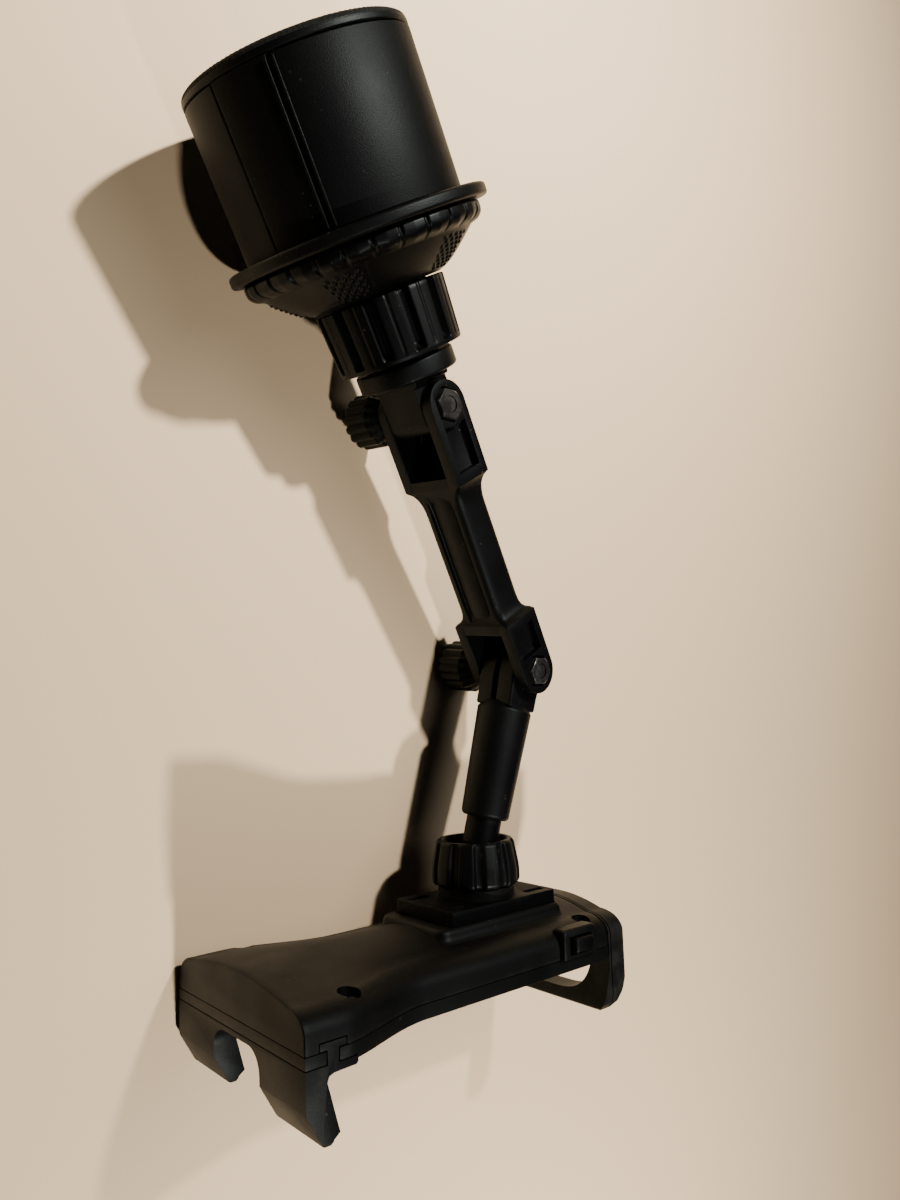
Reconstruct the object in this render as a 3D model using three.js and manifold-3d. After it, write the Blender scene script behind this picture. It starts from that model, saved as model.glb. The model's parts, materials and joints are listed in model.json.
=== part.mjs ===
// Cup-holder mount for a tablet: a plug that widens in a cup holder, a two-part arm and a clamping cradle.
// Millimetres, +Z up along the plug's axis from the plug's foot. The arm's hinge axes lie along X.
import * as THREE from "three";
import { mergeVertices } from "three/addons/utils/BufferGeometryUtils.js";
import Module from "manifold-3d";

const wasm = await Module();
wasm.setup();

// Fits
const seatGap = 0.3; // between pieces fixed to each other
const runGap = 0.4; // between pieces that move past each other

// Plug
const plugRadius = 35;
const plugWall = 2.5;
const padHeight = 1.6;
const capTop = 3.5;
const flangeBottom = 49;
const flangeTop = 52.7;
const flangeRadius = plugRadius + 7;
const wingTurn = 18; // how far a wing swings out, in degrees
const dialTurn = 72; // how far the dial turns to do it
const pivotRadius = plugRadius - 3.8;
const pivotAngle = 50.6; // where the first wing's pin stands
const wingStart = -34.8; // the first wing's free edge
const wingEnd = 52.1;
const panelStart = 54.9;
const panelEnd = 84.5;
const pinRadius = 1.1;
const pegRadius = 1.6;
const pegPlace = plugRadius - 14; // the closed peg's distance from the axis
const pegSlack = 0.35;

// Dial and neck
const dialRadius = flangeRadius - 3.1;
const dialBottom = flangeTop + runGap;
const dialRimTop = 57;
const dialTop = 68.4;
const bowlEnd = 21.2;
const rimNotches = 28;
const neckRadius = 10;
const neckCollar = 16;
const neckTop = 84;
const nutBottom = 68.9;
const nutTop = 89;
const nutRadiusLow = 21.4;
const nutRadiusHigh = 20.5;
const stemRadius = 8.2;
const ringRadius = 16.5;
const ringBottom = 90.3;
const ringTop = 96.5;

// Arm
const shoulderHeight = 107.33;
const shoulderTilt = 1.3;
const elbowBend = 43.7;
const armLength = 99.17;
const tongueHalf = 8.2;
const earInner = tongueHalf + runGap;
const earOuter = 12.7;
const earRadius = 8.1;
const railHalf = 9.5;
const railDepth = 6.7;
const studRadius = 2.6;
const studHole = studRadius + runGap;
const nutFlats = 9.2;
const nutFace = 13.9;
const knobRadius = 9.6;
const knobStart = 13.1;
const knobEnd = 29.6;
const tubeStart = 13.6;
const tubeEnd = 54;
const tubeWide = 9.8;
const tubeNarrow = 8.5;
const rodRadius = 6.2;
const reach = 70.69; // elbow to ball
const ballRadius = 8;

// Cradle, in its own frame: X along it to the sliding jaw, Z to the ball, zero on the mounting plate
const cradleTurn = [148.755, -5.002, 84.381];
const ballHeight = 9.6;
const seamHeight = -18.9;
const shellWall = 2.2;
const leftEnd = -92;
const rightEnd = 34.4;
const jawOuter = 42.6;
const leftHalf = 38.2;
const waistHalf = 29.2;
const crest = -5.4;
const plateBottom = -23.4;
const jawTip = -42.3;
const bossFace = -4.4;

const degrees = Math.PI / 180;

const blackSatin = { color: 0x17181a, roughness: 0.5, metalness: 0 };
const blackGloss = { color: 0x131416, roughness: 0.3, metalness: 0 };
const blackMatte = { color: 0x1b1c1e, roughness: 0.75, metalness: 0 };
const rubber = { color: 0x141414, roughness: 0.9, metalness: 0 };
const darkSteel = { color: 0x2a2b2d, roughness: 0.35, metalness: 0.9 };
const brightSteel = { color: 0x9a9ca0, roughness: 0.3, metalness: 1 };
const naturalPlastic = { color: 0x55565a, roughness: 0.6, metalness: 0 };

// Turns a geometry into a solid that faces out.
function solid(geometry) {
  const bare = geometry.clone();
  bare.deleteAttribute("normal");
  bare.deleteAttribute("uv");
  const merged = mergeVertices(bare, 1e-4);
  const corners = [...merged.index.array];
  const kept = [];
  for (let i = 0; i < corners.length; i += 3) {
    const [a, b, c] = corners.slice(i, i + 3);
    if (a !== b && b !== c && c !== a) kept.push(a, b, c);
  }
  const made = (triVerts) =>
    new wasm.Manifold(
      new wasm.Mesh({
        numProp: 3,
        vertProperties: merged.attributes.position.array,
        triVerts: new Uint32Array(triVerts),
      }),
    );
  const first = made(kept);
  if (first.volume() > 0) return first;
  return made(kept.reverse());
}

function joined(...solids) {
  return solids.reduce((all, next) => all.add(next));
}

function less(body, ...cuts) {
  return cuts.reduce((rest, cut) => rest.subtract(cut), body);
}

function box(x0, x1, y0, y1, z0, z1) {
  const shape = new THREE.BoxGeometry(x1 - x0, y1 - y0, z1 - z0);
  return solid(shape.translate((x0 + x1) / 2, (y0 + y1) / 2, (z0 + z1) / 2));
}

// A solid of revolution round Z. The profile lists [radius, height] and closes on itself.
function turned(profile, segments = 28) {
  const points = [...profile, profile[0]].map(([r, z]) => new THREE.Vector2(r, z));
  return solid(new THREE.LatheGeometry(points, segments).rotateX(Math.PI / 2));
}

function drum(radius, z0, z1, x = 0, y = 0, segments = 16, topRadius = radius) {
  const shape = new THREE.CylinderGeometry(topRadius, radius, z1 - z0, segments);
  return solid(shape.rotateX(Math.PI / 2).translate(x, y, (z0 + z1) / 2));
}

// The same along X.
function bar(radius, x0, x1, y = 0, z = 0, segments = 18) {
  const shape = new THREE.CylinderGeometry(radius, radius, x1 - x0, segments);
  return solid(shape.rotateZ(Math.PI / 2).translate((x0 + x1) / 2, y, z));
}

function hexBar(flats, x0, x1) {
  const shape = new THREE.CylinderGeometry(flats / 1.732, flats / 1.732, x1 - x0, 6);
  return solid(shape.rotateZ(Math.PI / 2).translate((x0 + x1) / 2, 0, 0));
}

// A flat outline pushed up Z.
function raised(points, z0, z1) {
  const shape = new THREE.Shape(points.map(([x, y]) => new THREE.Vector2(x, y)));
  const options = { depth: z1 - z0, bevelEnabled: false };
  return solid(new THREE.ExtrudeGeometry(shape, options).translate(0, 0, z0));
}

// An outline in X and Z, pushed along Y.
function pushedY(points, y0, y1) {
  const shape = new THREE.Shape(points.map(([x, z]) => new THREE.Vector2(x, z)));
  const options = { depth: y1 - y0, bevelEnabled: false };
  const geometry = new THREE.ExtrudeGeometry(shape, options);
  return solid(geometry.rotateX(Math.PI / 2).translate(0, y1, 0));
}

// An outline in Y and Z, pushed along X.
function pushedX(points, x0, x1) {
  const shape = new THREE.Shape(points.map(([y, z]) => new THREE.Vector2(y, z)));
  const options = { depth: x1 - x0, bevelEnabled: false };
  const geometry = new THREE.ExtrudeGeometry(shape, options);
  return solid(geometry.rotateX(Math.PI / 2).rotateZ(Math.PI / 2).translate(x0, 0, 0));
}

function arc(cx, cy, radius, from, to, steps) {
  const points = [];
  for (let i = 0; i <= steps; i++) {
    const a = (from + ((to - from) * i) / steps) * degrees;
    points.push([cx + radius * Math.cos(a), cy + radius * Math.sin(a)]);
  }
  return points;
}

function roundedBox(cx, cy, hx, hy, radius, steps = 4) {
  return [
    ...arc(cx + hx - radius, cy + hy - radius, radius, 0, 90, steps),
    ...arc(cx - hx + radius, cy + hy - radius, radius, 90, 180, steps),
    ...arc(cx - hx + radius, cy - hy + radius, radius, 180, 270, steps),
    ...arc(cx + hx - radius, cy - hy + radius, radius, 270, 360, steps),
  ];
}

// A curved wall between two angles.
function wallArc(inner, outer, from, to, z0, z1, steps) {
  const outline = [
    ...arc(0, 0, outer, from, to, steps),
    ...arc(0, 0, inner, from, to, steps).reverse(),
  ];
  return raised(outline, z0, z1);
}

// A slot with round ends along a path.
function slotAlong(path, halfWidth, z0, z1) {
  const left = [];
  const right = [];
  path.forEach((p, i) => {
    const a = path[Math.max(i - 1, 0)];
    const b = path[Math.min(i + 1, path.length - 1)];
    const turn = Math.atan2(b[1] - a[1], b[0] - a[0]);
    const side = [-Math.sin(turn) * halfWidth, Math.cos(turn) * halfWidth];
    left.push([p[0] + side[0], p[1] + side[1]]);
    right.push([p[0] - side[0], p[1] - side[1]]);
  });
  const first = path[0];
  const last = path[path.length - 1];
  const strip = raised([...right, ...left.reverse()], z0, z1);
  return joined(
    strip,
    drum(halfWidth, z0, z1, first[0], first[1], 12),
    drum(halfWidth, z0, z1, last[0], last[1], 12),
  );
}

// A skin through rings of points, closed at both ends.
function loft(rings) {
  const count = rings[0].length;
  const points = rings.flat();
  const faces = [];
  for (let i = 0; i < rings.length - 1; i++)
    for (let j = 0; j < count; j++) {
      const a = i * count + j;
      const b = i * count + ((j + 1) % count);
      faces.push(a, b, b + count, a, b + count, a + count);
    }
  const cap = (ring, start, flip) => {
    const middle = [0, 1, 2].map((k) => ring.reduce((sum, p) => sum + p[k], 0) / count);
    points.push(middle);
    for (let j = 0; j < count; j++) {
      const pair = [start + j, start + ((j + 1) % count)];
      if (flip) pair.reverse();
      faces.push(pair[1], pair[0], points.length - 1);
    }
  };
  cap(rings[0], 0, false);
  cap(rings[rings.length - 1], (rings.length - 1) * count, true);
  const geometry = new THREE.BufferGeometry();
  geometry.setAttribute("position", new THREE.Float32BufferAttribute(points.flat(), 3));
  geometry.setIndex(faces);
  return solid(geometry);
}

function spun(body, angle) {
  return body.rotate([0, 0, angle]);
}

function thirds(make) {
  return joined(...[0, 120, 240].map((angle) => spun(make(), angle)));
}

const root = new THREE.Group();
root.name = "tablet_cup_mount";

function group(parent, position, turns = [0, 0, 0]) {
  const made = new THREE.Group();
  made.position.set(...position);
  made.rotation.set(...turns.map((t) => t * degrees), "XYZ");
  parent.add(made);
  return made;
}

function piece(parent, name, body, finish) {
  const mesh = body.getMesh();
  const places = new Float32Array(mesh.numVert * 3);
  for (let i = 0; i < mesh.numVert; i++)
    places.set(mesh.vertProperties.subarray(i * mesh.numProp, i * mesh.numProp + 3), i * 3);
  const geometry = new THREE.BufferGeometry();
  geometry.setAttribute("position", new THREE.BufferAttribute(places, 3));
  geometry.setIndex(new THREE.BufferAttribute(mesh.triVerts, 1));
  geometry.computeVertexNormals();
  const made = new THREE.Mesh(geometry, new THREE.MeshStandardMaterial(finish));
  made.name = name;
  parent.add(made);
}

// Plug.
const wallInner = plugRadius - plugWall;
const floorTop = 6.2;
const floorRadius = wallInner - runGap;
const pivot = [
  pivotRadius * Math.cos(pivotAngle * degrees),
  pivotRadius * Math.sin(pivotAngle * degrees),
];

const padRadius = plugRadius - 0.8;

// Where a closed wing's peg goes as the wing swings out by an angle.
function pegAt(angle) {
  const a = angle * degrees;
  const x = pegPlace - pivot[0];
  const y = -pivot[1];
  return [
    pivot[0] + x * Math.cos(a) - y * Math.sin(a),
    pivot[1] + x * Math.sin(a) + y * Math.cos(a),
  ];
}

const swing = [...Array(8).keys()].map((i) => ((i - 0.4) / 6.2) * wingTurn);
const flangePath = swing.map((angle) => pegAt(angle));
const camPath = swing.map((angle) => {
  const [x, y] = pegAt(angle);
  const back = (-angle * dialTurn * degrees) / wingTurn;
  return [x * Math.cos(back) - y * Math.sin(back), x * Math.sin(back) + y * Math.cos(back)];
});
const slotHalf = pegRadius + pegSlack;

piece(
  root,
  "bottom_pad",
  turned(
    [[0, 0], [plugRadius - 1.6, 0], [padRadius, 0.7], [padRadius, padHeight], [0, padHeight]],
    56,
  ),
  rubber,
);
piece(
  root,
  "bottom_cap",
  turned(
    [[0, padHeight + seatGap], [plugRadius - 0.7, padHeight + seatGap], [plugRadius - 0.1, 2.4],
      [plugRadius - 0.1, 3.1], [plugRadius - 0.5, capTop], [0, capTop]],
    56,
  ),
  blackSatin,
);

const panelMiddle = (panelStart + panelEnd) / 2;
const panelWall = () =>
  wallArc(wallInner, plugRadius, panelStart, panelEnd, capTop + seatGap, 48.7, 8);
const panelRidge = () => wallArc(plugRadius - 1, plugRadius + 0.6, panelStart, panelStart + 1.6, 4.6, 47.9, 1);
const panelWeb = () => spun(box(7, plugRadius - 2, -1.1, 1.1, 4.5, 44), panelMiddle);
const pinBoss = () => drum(2.3, capTop + seatGap, floorTop, pivot[0], pivot[1], 24);
const pinHole = () => drum(pinRadius + 0.25, 4.7, 7, pivot[0], pivot[1], 20);
const floorSkin = turned(
  [[0, capTop + seatGap], [floorRadius, capTop + seatGap], [floorRadius, floorTop], [0, floorTop]],
  48,
);
const column = turned([[5.6, 6], [8, 6], [8, 44.8], [5.6, 44.8]], 20);
const coreBody = joined(
  floorSkin,
  column,
  thirds(panelWall),
  thirds(panelRidge),
  thirds(panelWeb),
  thirds(pinBoss),
);
piece(root, "base_core", less(coreBody, thirds(pinHole)), blackMatte);

const flangeBody = turned(
  [[2.9, flangeBottom], [flangeRadius - 0.8, flangeBottom], [flangeRadius, 49.8],
    [flangeRadius, 52.1], [flangeRadius - 0.6, flangeTop],
    [2.9, flangeTop]],
  64,
);
const flangeSlot = () => slotAlong(flangePath, slotHalf, 48, 54);
const flangePinHole = () => drum(pinRadius + 0.25, 48, 50.8, pivot[0], pivot[1], 20);
piece(root, "top_flange", less(flangeBody, thirds(flangeSlot), thirds(flangePinHole)), blackSatin);

const knuckle = drum(2.2, 6.7, 48.3, pivot[0], pivot[1], 18);
const knuckleHole = drum(pinRadius + 0.15, 3, 49, pivot[0], pivot[1], 24);
const bossRoom = drum(2.3 + runGap, 3, floorTop + runGap, pivot[0], pivot[1], 18);
const wingSkin = wallArc(wallInner, plugRadius, wingStart, wingEnd, 4, 48.5, 16);
const wingRidge = wallArc(plugRadius - 1, plugRadius + 0.6, wingEnd - 1.6, wingEnd, 4.6, 47.9, 1);
const wingRib = box(pegPlace - 2.6, plugRadius - 1.5, -2.4, 2.4, 43.6, 47.6);
const wingPeg = drum(pegRadius, 47, 54.9, pegPlace, 0, 20);
const knuckleWeb = spun(box(pivotRadius - 0.6, plugRadius - 1.6, -2.2, 0, 6.7, 48.3), pivotAngle);
const wingBody = less(
  joined(wingSkin, wingRidge, wingRib, wingPeg, knuckle, knuckleWeb),
  knuckleHole,
  bossRoom,
);
[1, 2, 3].forEach((count) => {
  const turn = (count - 1) * 120;
  piece(root, "wing_" + count, spun(wingBody, turn), blackSatin);
  const pin = drum(pinRadius, 4.9, 50.5, pivot[0], pivot[1], 20);
  piece(root, "wing_pin_" + count, spun(pin, turn), brightSteel);
});

// Dial and neck.
const dialInner = dialRadius - 3.3;
const rimGrooves = [];
for (let i = 0; i < rimNotches; i++) {
  const notch = box(dialRadius - 0.9, dialRadius + 3, -0.6, 0.6, 53, dialRimTop + 0.6);
  rimGrooves.push(spun(notch, (i * 360) / rimNotches + 7.3));
}
const dialBody = turned(
  [[dialInner, dialBottom], [dialRadius, dialBottom], [dialRadius, 56.3],
    [dialRadius - 0.8, dialRimTop], [dialRadius - 4.3, 59.2], [29.4, 62.9], [24.6, 66.6],
    [bowlEnd, 68], [bowlEnd - 0.6, dialTop], [neckCollar + 0.8, dialTop],
    [neckCollar + 0.8, 66.6], [22.6, 65], [dialInner - 3.2, 57.6], [dialInner, 56]],
  56,
);
piece(root, "dial_ring", less(dialBody, ...rimGrooves), blackGloss);

const camBody = turned([[10.9, 53.1], [dialInner - 0.3, 53.1], [dialInner - 0.3, 55], [10.9, 55]], 40);
const camSlot = () => slotAlong(camPath, slotHalf, 52, 56);
piece(root, "cam_plate", less(camBody, thirds(camSlot)), naturalPlastic);
piece(
  root,
  "cam_retainer",
  turned([[neckRadius + seatGap, 55.4], [14, 55.4], [14, 56.9], [neckRadius + seatGap, 56.9]], 24),
  darkSteel,
);
piece(
  root,
  "neck_post",
  turned(
    [[2.6, flangeTop + seatGap], [neckRadius, flangeTop + seatGap], [neckRadius, 65], [neckCollar, 66.4],
      [neckCollar, neckTop - 0.8], [neckCollar - 0.8, neckTop], [stemRadius + runGap, neckTop],
      [stemRadius + runGap, 70], [0, 70], [0, 64], [2.6, 64]],
    28,
  ),
  blackMatte,
);
piece(
  root,
  "neck_screw",
  turned([[0, 45.4], [4.6, 45.4], [5, 45.9], [5, 48.7], [2.3, 48.7], [2.3, 63.6], [0, 63.6]], 16),
  brightSteel,
);

const lip = stemRadius + 4.4;
const nutFlutes = [];
for (let i = 0; i < 12; i++) {
  const flute = drum(2.7, nutBottom - 1, 86.2, 22.3, 0, 14);
  nutFlutes.push(spun(flute, i * 30 + 26));
}
const collarBody = turned(
  [[neckCollar + runGap, nutBottom], [nutRadiusLow, nutBottom], [nutRadiusHigh, nutTop - 0.8],
    [nutRadiusHigh - 0.8, nutTop], [lip, nutTop], [lip, 86.7], [14.6, 86.7], [14.6, 84.5],
    [neckCollar + runGap, 84.2]],
  36,
);
piece(root, "collar_nut", less(collarBody, ...nutFlutes), blackGloss);

const baseTurning = turned(
  [[0, 70.5], [stemRadius, 70.5], [stemRadius, neckTop + seatGap], [14, neckTop + seatGap], [14, 86.3],
    [lip - runGap, 86.3], [lip - runGap, ringBottom], [ringRadius - 0.4, ringBottom],
    [ringRadius, ringBottom + 0.5], [ringRadius, ringTop - 0.6], [ringRadius - 0.6, ringTop], [0, ringTop]],
  40,
);
const tongueSide = [
  [-earRadius, ringTop - 1],
  [earRadius, ringTop - 1],
  [earRadius, shoulderHeight + 2.4],
  ...arc(earRadius - 4.6, shoulderHeight + 2.9, 4.6, 0, 90, 6),
  ...arc(-earRadius + 4.6, shoulderHeight + 2.9, 4.6, 90, 180, 6),
];
const tongueFront = [
  [-10.4, ringTop - 1],
  [10.4, ringTop - 1],
  [9.6, ringTop + 1.9],
  [tongueHalf, ringTop + 2.2],
  [tongueHalf, 120],
  [-tongueHalf, 120],
  [-tongueHalf, ringTop + 2.2],
  [-9.6, ringTop + 1.9],
];
const baseTongue = pushedX(tongueSide, -12, 12).intersect(pushedY(tongueFront, -12, 12));
piece(
  root,
  "arm_base",
  less(joined(baseTurning, baseTongue), bar(studHole, -20, 20, 0, shoulderHeight)),
  blackSatin,
);

// Long arm.
const armOne = group(root, [0, 0, shoulderHeight], [-shoulderTilt, 0, 0]);

const armSection = (z, hx, hy, radius) => roundedBox(0, 0, hx, hy, radius, 4).map(([x, y]) => [x, y, z]);
const blockEnd = 26;
const elbowBlock = armLength - 22;
const barrel = loft([
  armSection(21.2, earOuter, earRadius, 0.6),
  armSection(blockEnd, earOuter, earRadius, 0.6),
  armSection(blockEnd + 1.2, earOuter - 1.2, earRadius - 0.5, 1.2),
  armSection(blockEnd + 4, railHalf + 0.9, railDepth + 0.3, 2.4),
  armSection(blockEnd + 8, railHalf, railDepth, 3),
  armSection(elbowBlock - 5, railHalf, railDepth, 3),
  armSection(elbowBlock - 1.6, railHalf + 0.7, railDepth + 0.3, 2.4),
  armSection(elbowBlock, earOuter, earRadius, 0.6),
  armSection(elbowBlock + 4.4, earOuter, earRadius, 0.6),
]);
const earOutline = (centre, away, length) => [
  ...arc(0, centre, earRadius, away > 0 ? 180 : 0, away > 0 ? 360 : 180, 20),
  [away * earRadius, centre + length],
  [-away * earRadius, centre + length],
];
const ears = (centre, away, length) => {
  const outline = earOutline(centre, away, length);
  return joined(pushedX(outline, earInner, earOuter), pushedX(outline, -earOuter, -earInner));
};
const shoulderPocket = pushedX(
  [[-5.2, 22], [5.2, 22], [5.2, 6.4], [3.2, 6.4], [2, 7.4], [-2, 7.4], [-3.2, 6.4], [-5.2, 6.4]],
  earOuter - 2.2,
  20,
);
const elbowPocket = pushedX(
  [[-5.2, armLength - 6.6], [5.2, armLength - 6.6], [5.2, armLength - 18.2], [-5.2, armLength - 18.2]],
  earOuter - 2.2,
  20,
);
const channelDepth = 1.7;
const coreHalf = 5.8;
const frontChannel = (side) =>
  loft(
    [
      [blockEnd + 2, 5.2, 1.2],
      [blockEnd + 6, coreHalf, 2 - channelDepth],
      [elbowBlock - 5, coreHalf, 2 - channelDepth],
      [elbowBlock - 1, 5.2, 1.2],
    ].map(([z, half, lift]) =>
      armSection(z, half, 2, 0.6).map(([x, y]) => [x, side * (railDepth + lift) + y, z]),
    ),
  );
// The rounded spine between the two rails.
const spineSide = [-5.7, -4.2, -2.8, -1.4, 0, 1.4, 2.8, 4.2, 5.7];
const spine = raised(
  [
    ...spineSide.map((x) => [x, railDepth - 0.2 - 0.045 * x * x]),
    ...[...spineSide].reverse().map((x) => [x, 0.045 * x * x - railDepth + 0.2]),
  ].reverse(),
  blockEnd + 3,
  elbowBlock - 2,
);
const forkWall = (low, high) => box(-earInner - 0.1, earInner + 0.1, -earRadius, -6.5, low, high);
const hexRecess = (centre) => hexBar(nutFlats + 0.7, 9.9, 20).translate([0, 0, centre]);
const channelled = joined(less(barrel, frontChannel(1), frontChannel(-1)), spine);
const longArmBody = less(
  joined(
    channelled,
    ears(0, 1, 22),
    ears(armLength, -1, -19),
    forkWall(10.4, 22),
    forkWall(armLength - 19, armLength - 10.4),
  ),
  shoulderPocket,
  elbowPocket,
  hexRecess(0),
  hexRecess(armLength),
  bar(studHole, -20, 20, 0, 0),
  bar(studHole, -20, 20, 0, armLength),
);
piece(armOne, "long_arm", longArmBody, blackSatin);

// Hinge hardware, made once for each hinge.
function hingeSet(parent, name, height) {
  const at = (body) => body.translate([0, 0, height]);
  const crown = turned(
    [[0, 10], [5.6, 10], [5.6, nutFace - 0.7], [4.5, nutFace], [0, nutFace]],
    24,
  ).rotate([0, 90, 0]);
  const nut = less(hexBar(nutFlats, 10.2, nutFace).intersect(crown), bar(studRadius + 0.15, 0, 20));
  piece(parent, name + "_nut", at(nut), darkSteel);
  const stud = bar(studRadius, -knobEnd + 4, nutFace - 0.5, 0, 0, 16);
  piece(parent, name + "_stud", at(stud), darkSteel);
  const body = turned(
    [[studRadius + 0.15, knobStart], [5.6, knobStart], [6.2, knobStart + 0.6],
      [knobRadius - 0.5, knobStart + 4.6], [knobRadius, knobStart + 5.4],
      [knobRadius, knobEnd - 1.6], [knobRadius - 1.4, knobEnd - 0.3], [0, knobEnd],
      [0, knobEnd - 3.6], [studRadius + 0.15, knobEnd - 3.6]],
    24,
  );
  const flutes = [];
  for (let i = 0; i < 12; i++)
    flutes.push(spun(drum(1.25, knobStart + 4.6, knobEnd + 1, knobRadius + 0.5, 0, 8), i * 30));
  piece(parent, name + "_knob", at(less(body, ...flutes).rotate([0, -90, 0])), blackSatin);
}
hingeSet(armOne, "shoulder", 0);
hingeSet(armOne, "elbow", armLength);

// Short arm.
const armTwo = group(armOne, [0, 0, armLength], [-elbowBend, 0, 0]);
const leafSide = [
  ...arc(0, 0, 7.9, 180, 360, 20),
  [7.9, 4],
  [8.4, tubeStart + 1],
  [-8.4, tubeStart + 1],
  [-7.9, 4],
];
const leaves = joined(pushedX(leafSide, -tongueHalf, -0.7), pushedX(leafSide, 0.7, tongueHalf));
const tube = turned(
  [[0, tubeStart], [tubeWide - 1.3, tubeStart], [tubeWide, tubeStart + 1.3], [tubeNarrow, tubeEnd - 0.8],
    [tubeNarrow - 0.8, tubeEnd], [rodRadius + 0.15, tubeEnd], [rodRadius + 0.15, 34], [0, 34]],
  32,
);
piece(
  armTwo,
  "short_arm",
  less(joined(leaves, tube), bar(studHole, -20, 20, 0, 0)),
  blackSatin,
);
const ballShape = new THREE.SphereGeometry(ballRadius, 20, 12).rotateX(Math.PI / 2);
const ball = solid(ballShape.translate(0, 0, reach));
const rod = turned(
  [[0, 34.3], [rodRadius, 34.3], [rodRadius, 63.6], [4.9, 66], [4.9, reach - 4], [0, reach - 4]],
  24,
);
piece(armTwo, "ball_rod", joined(ball, rod), blackSatin);

// Ball joint and cradle.
const bendAll = (shoulderTilt + elbowBend) * degrees;
const tiltAll = shoulderTilt * degrees;
const ballPlace = [
  0,
  armLength * Math.sin(tiltAll) + reach * Math.sin(bendAll),
  shoulderHeight + armLength * Math.cos(tiltAll) + reach * Math.cos(bendAll),
];
const ballGroup = group(root, ballPlace, cradleTurn);
const cradle = group(ballGroup, [0, 0, -ballHeight]);

// A cup round the ball, open towards the arm.
function cup(inner, outer, openAngle, segments) {
  const outerArc = arc(0, 0, outer, -90, 90 - openAngle, 7);
  const innerArc = arc(0, 0, inner, -90, 90 - openAngle, 7).reverse();
  outerArc[0][0] = 0;
  innerArc[innerArc.length - 1][0] = 0;
  return turned([...outerArc, ...innerArc], segments);
}
piece(ballGroup, "ball_liner", cup(ballRadius + 0.25, 9.3, 76, 20), naturalPlastic);
piece(ballGroup, "ball_seat", cup(9.6, 10.6, 76, 20), blackMatte);

const lobes = [];
for (let i = 0; i < 80; i++) {
  const a = (i / 80) * 2 * Math.PI;
  const r = 14.5 + 0.8 * Math.tanh(2.6 * (Math.cos(10 * a) + 0.45));
  lobes.push([r * Math.cos(a), r * Math.sin(a)]);
}
const nutCone = turned(
  [[0, 4], [14.4, 4], [15.6, 5], [15.6, 10], [13.5, 18.6], [12.9, 19.1], [0, 19.1]],
  32,
);
const nutInside = turned(
  [[0, 3], [12.6, 3], [12.6, 12.4], [10, 12.9], [10, 14], [11.4, 19.2], [11.4, 20], [0, 20]],
  28,
);
piece(cradle, "ring_nut", less(raised(lobes, 3.9, 19.4).intersect(nutCone), nutInside), blackGloss);

const hub = turned(
  [[0, -2], [13.3, -2], [13.3, 3.6], [12.2, 3.8], [12.2, 11.4], [0, 11.4]],
  32,
);
const socketShape = new THREE.SphereGeometry(10.85, 20, 12).rotateX(Math.PI / 2);
const socket = solid(socketShape.translate(0, 0, ballHeight));
const plateSlots = [];
for (const x of [-17.6, 17.4])
  for (const y of [-10.4, 10.4])
    plateSlots.push(box(x - 4.4, x + 4.4, y - 1.5, y + 1.5, -8, 2));
const plateSkin = raised(roundedBox(-0.1, 0, 23.9, 15.2, 1.2, 3), -5.5, 0);
piece(
  cradle,
  "mount_plate",
  less(
    joined(plateSkin, hub),
    socket,
    box(-0.6, 0.6, -20, 20, 4.2, 14),
    box(-20, 20, -0.6, 0.6, 4.2, 14),
    ...plateSlots,
  ),
  blackMatte,
);

// Half the shell's width at a place along it.
function halfWidth(x) {
  if (x < -79) return leftHalf;
  if (x > -46) return waistHalf;
  const t = (x + 79) / 33;
  return leftHalf + (waistHalf - leftHalf) * (t * t * (3 - 2 * t)) ** 0.8;
}

// The shell's cross-section: straight sides, then a low dome.
function shellSection(x, inset, bottom) {
  const half = halfWidth(x) - inset;
  const t = Math.min(Math.max((x + 79) / 40, 0), 1);
  const side = -14.8 - 0.4 * t - inset;
  const top = crest - inset;
  const shoulder = 8 + 1.7 * t;
  const drop = 3.3 + 0.2 * t;
  const points = [[x, -half, bottom], [x, -half, side]];
  const steps = 4;
  for (let i = 1; i <= steps; i++) {
    const a = (i / steps) * 90 * degrees;
    const rise = top - drop - side;
    points.push([x, -half + shoulder * (1 - Math.cos(a)), side + rise * Math.sin(a)]);
  }
  const flat = half - shoulder;
  for (const k of [-0.6, 0, 0.6])
    points.push([x, k * flat, top - drop * k * k]);
  const mirrored = points.slice(0, 2 + steps).map(([a, b, c]) => [a, -b, c]);
  return [...points, ...mirrored.reverse()];
}

const stations = [leftEnd, -79, -74, -69, -64, -59, -54, -49, -45, -38, 0, rightEnd];
const shellOuter = loft(stations.map((x) => shellSection(x, 0, seamHeight)));
const innerStations = stations.map((x) => Math.min(Math.max(x, leftEnd + shellWall), rightEnd - shellWall));
const shellInner = loft(innerStations.map((x) => shellSection(x, shellWall, seamHeight - 1)));
const bossX = -2;
const boss = loft([
  roundedBox(bossX, 0, 30.6, 19.4, 5).map(([x, y]) => [x, y, -9.4]),
  roundedBox(bossX, 0, 28.6, 17.4, 4.4).map(([x, y]) => [x, y, -7.4]),
  roundedBox(bossX, 0, 28, 16.9, 4).map(([x, y]) => [x, y, bossFace - 0.8]),
  roundedBox(bossX, 0, 27.2, 16.2, 3.4).map(([x, y]) => [x, y, bossFace]),
]);
const bossRecess = raised(roundedBox(-0.1, 0, 24.3, 15.6, 1.4, 3), -5.8, 0);
const claws = [];
for (const x of [-17.6, 17.4])
  for (const y of [-10.4, 10.4])
    claws.push(box(x - 3.4, x + 0.4, y - 1, y + 1, -6.5, -1.6));
const screwPlaces = [
  [-73.5, -30.5],
  [-73.5, 30.5],
  [27.2, -23.5],
  [27.2, 23.5],
];
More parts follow.
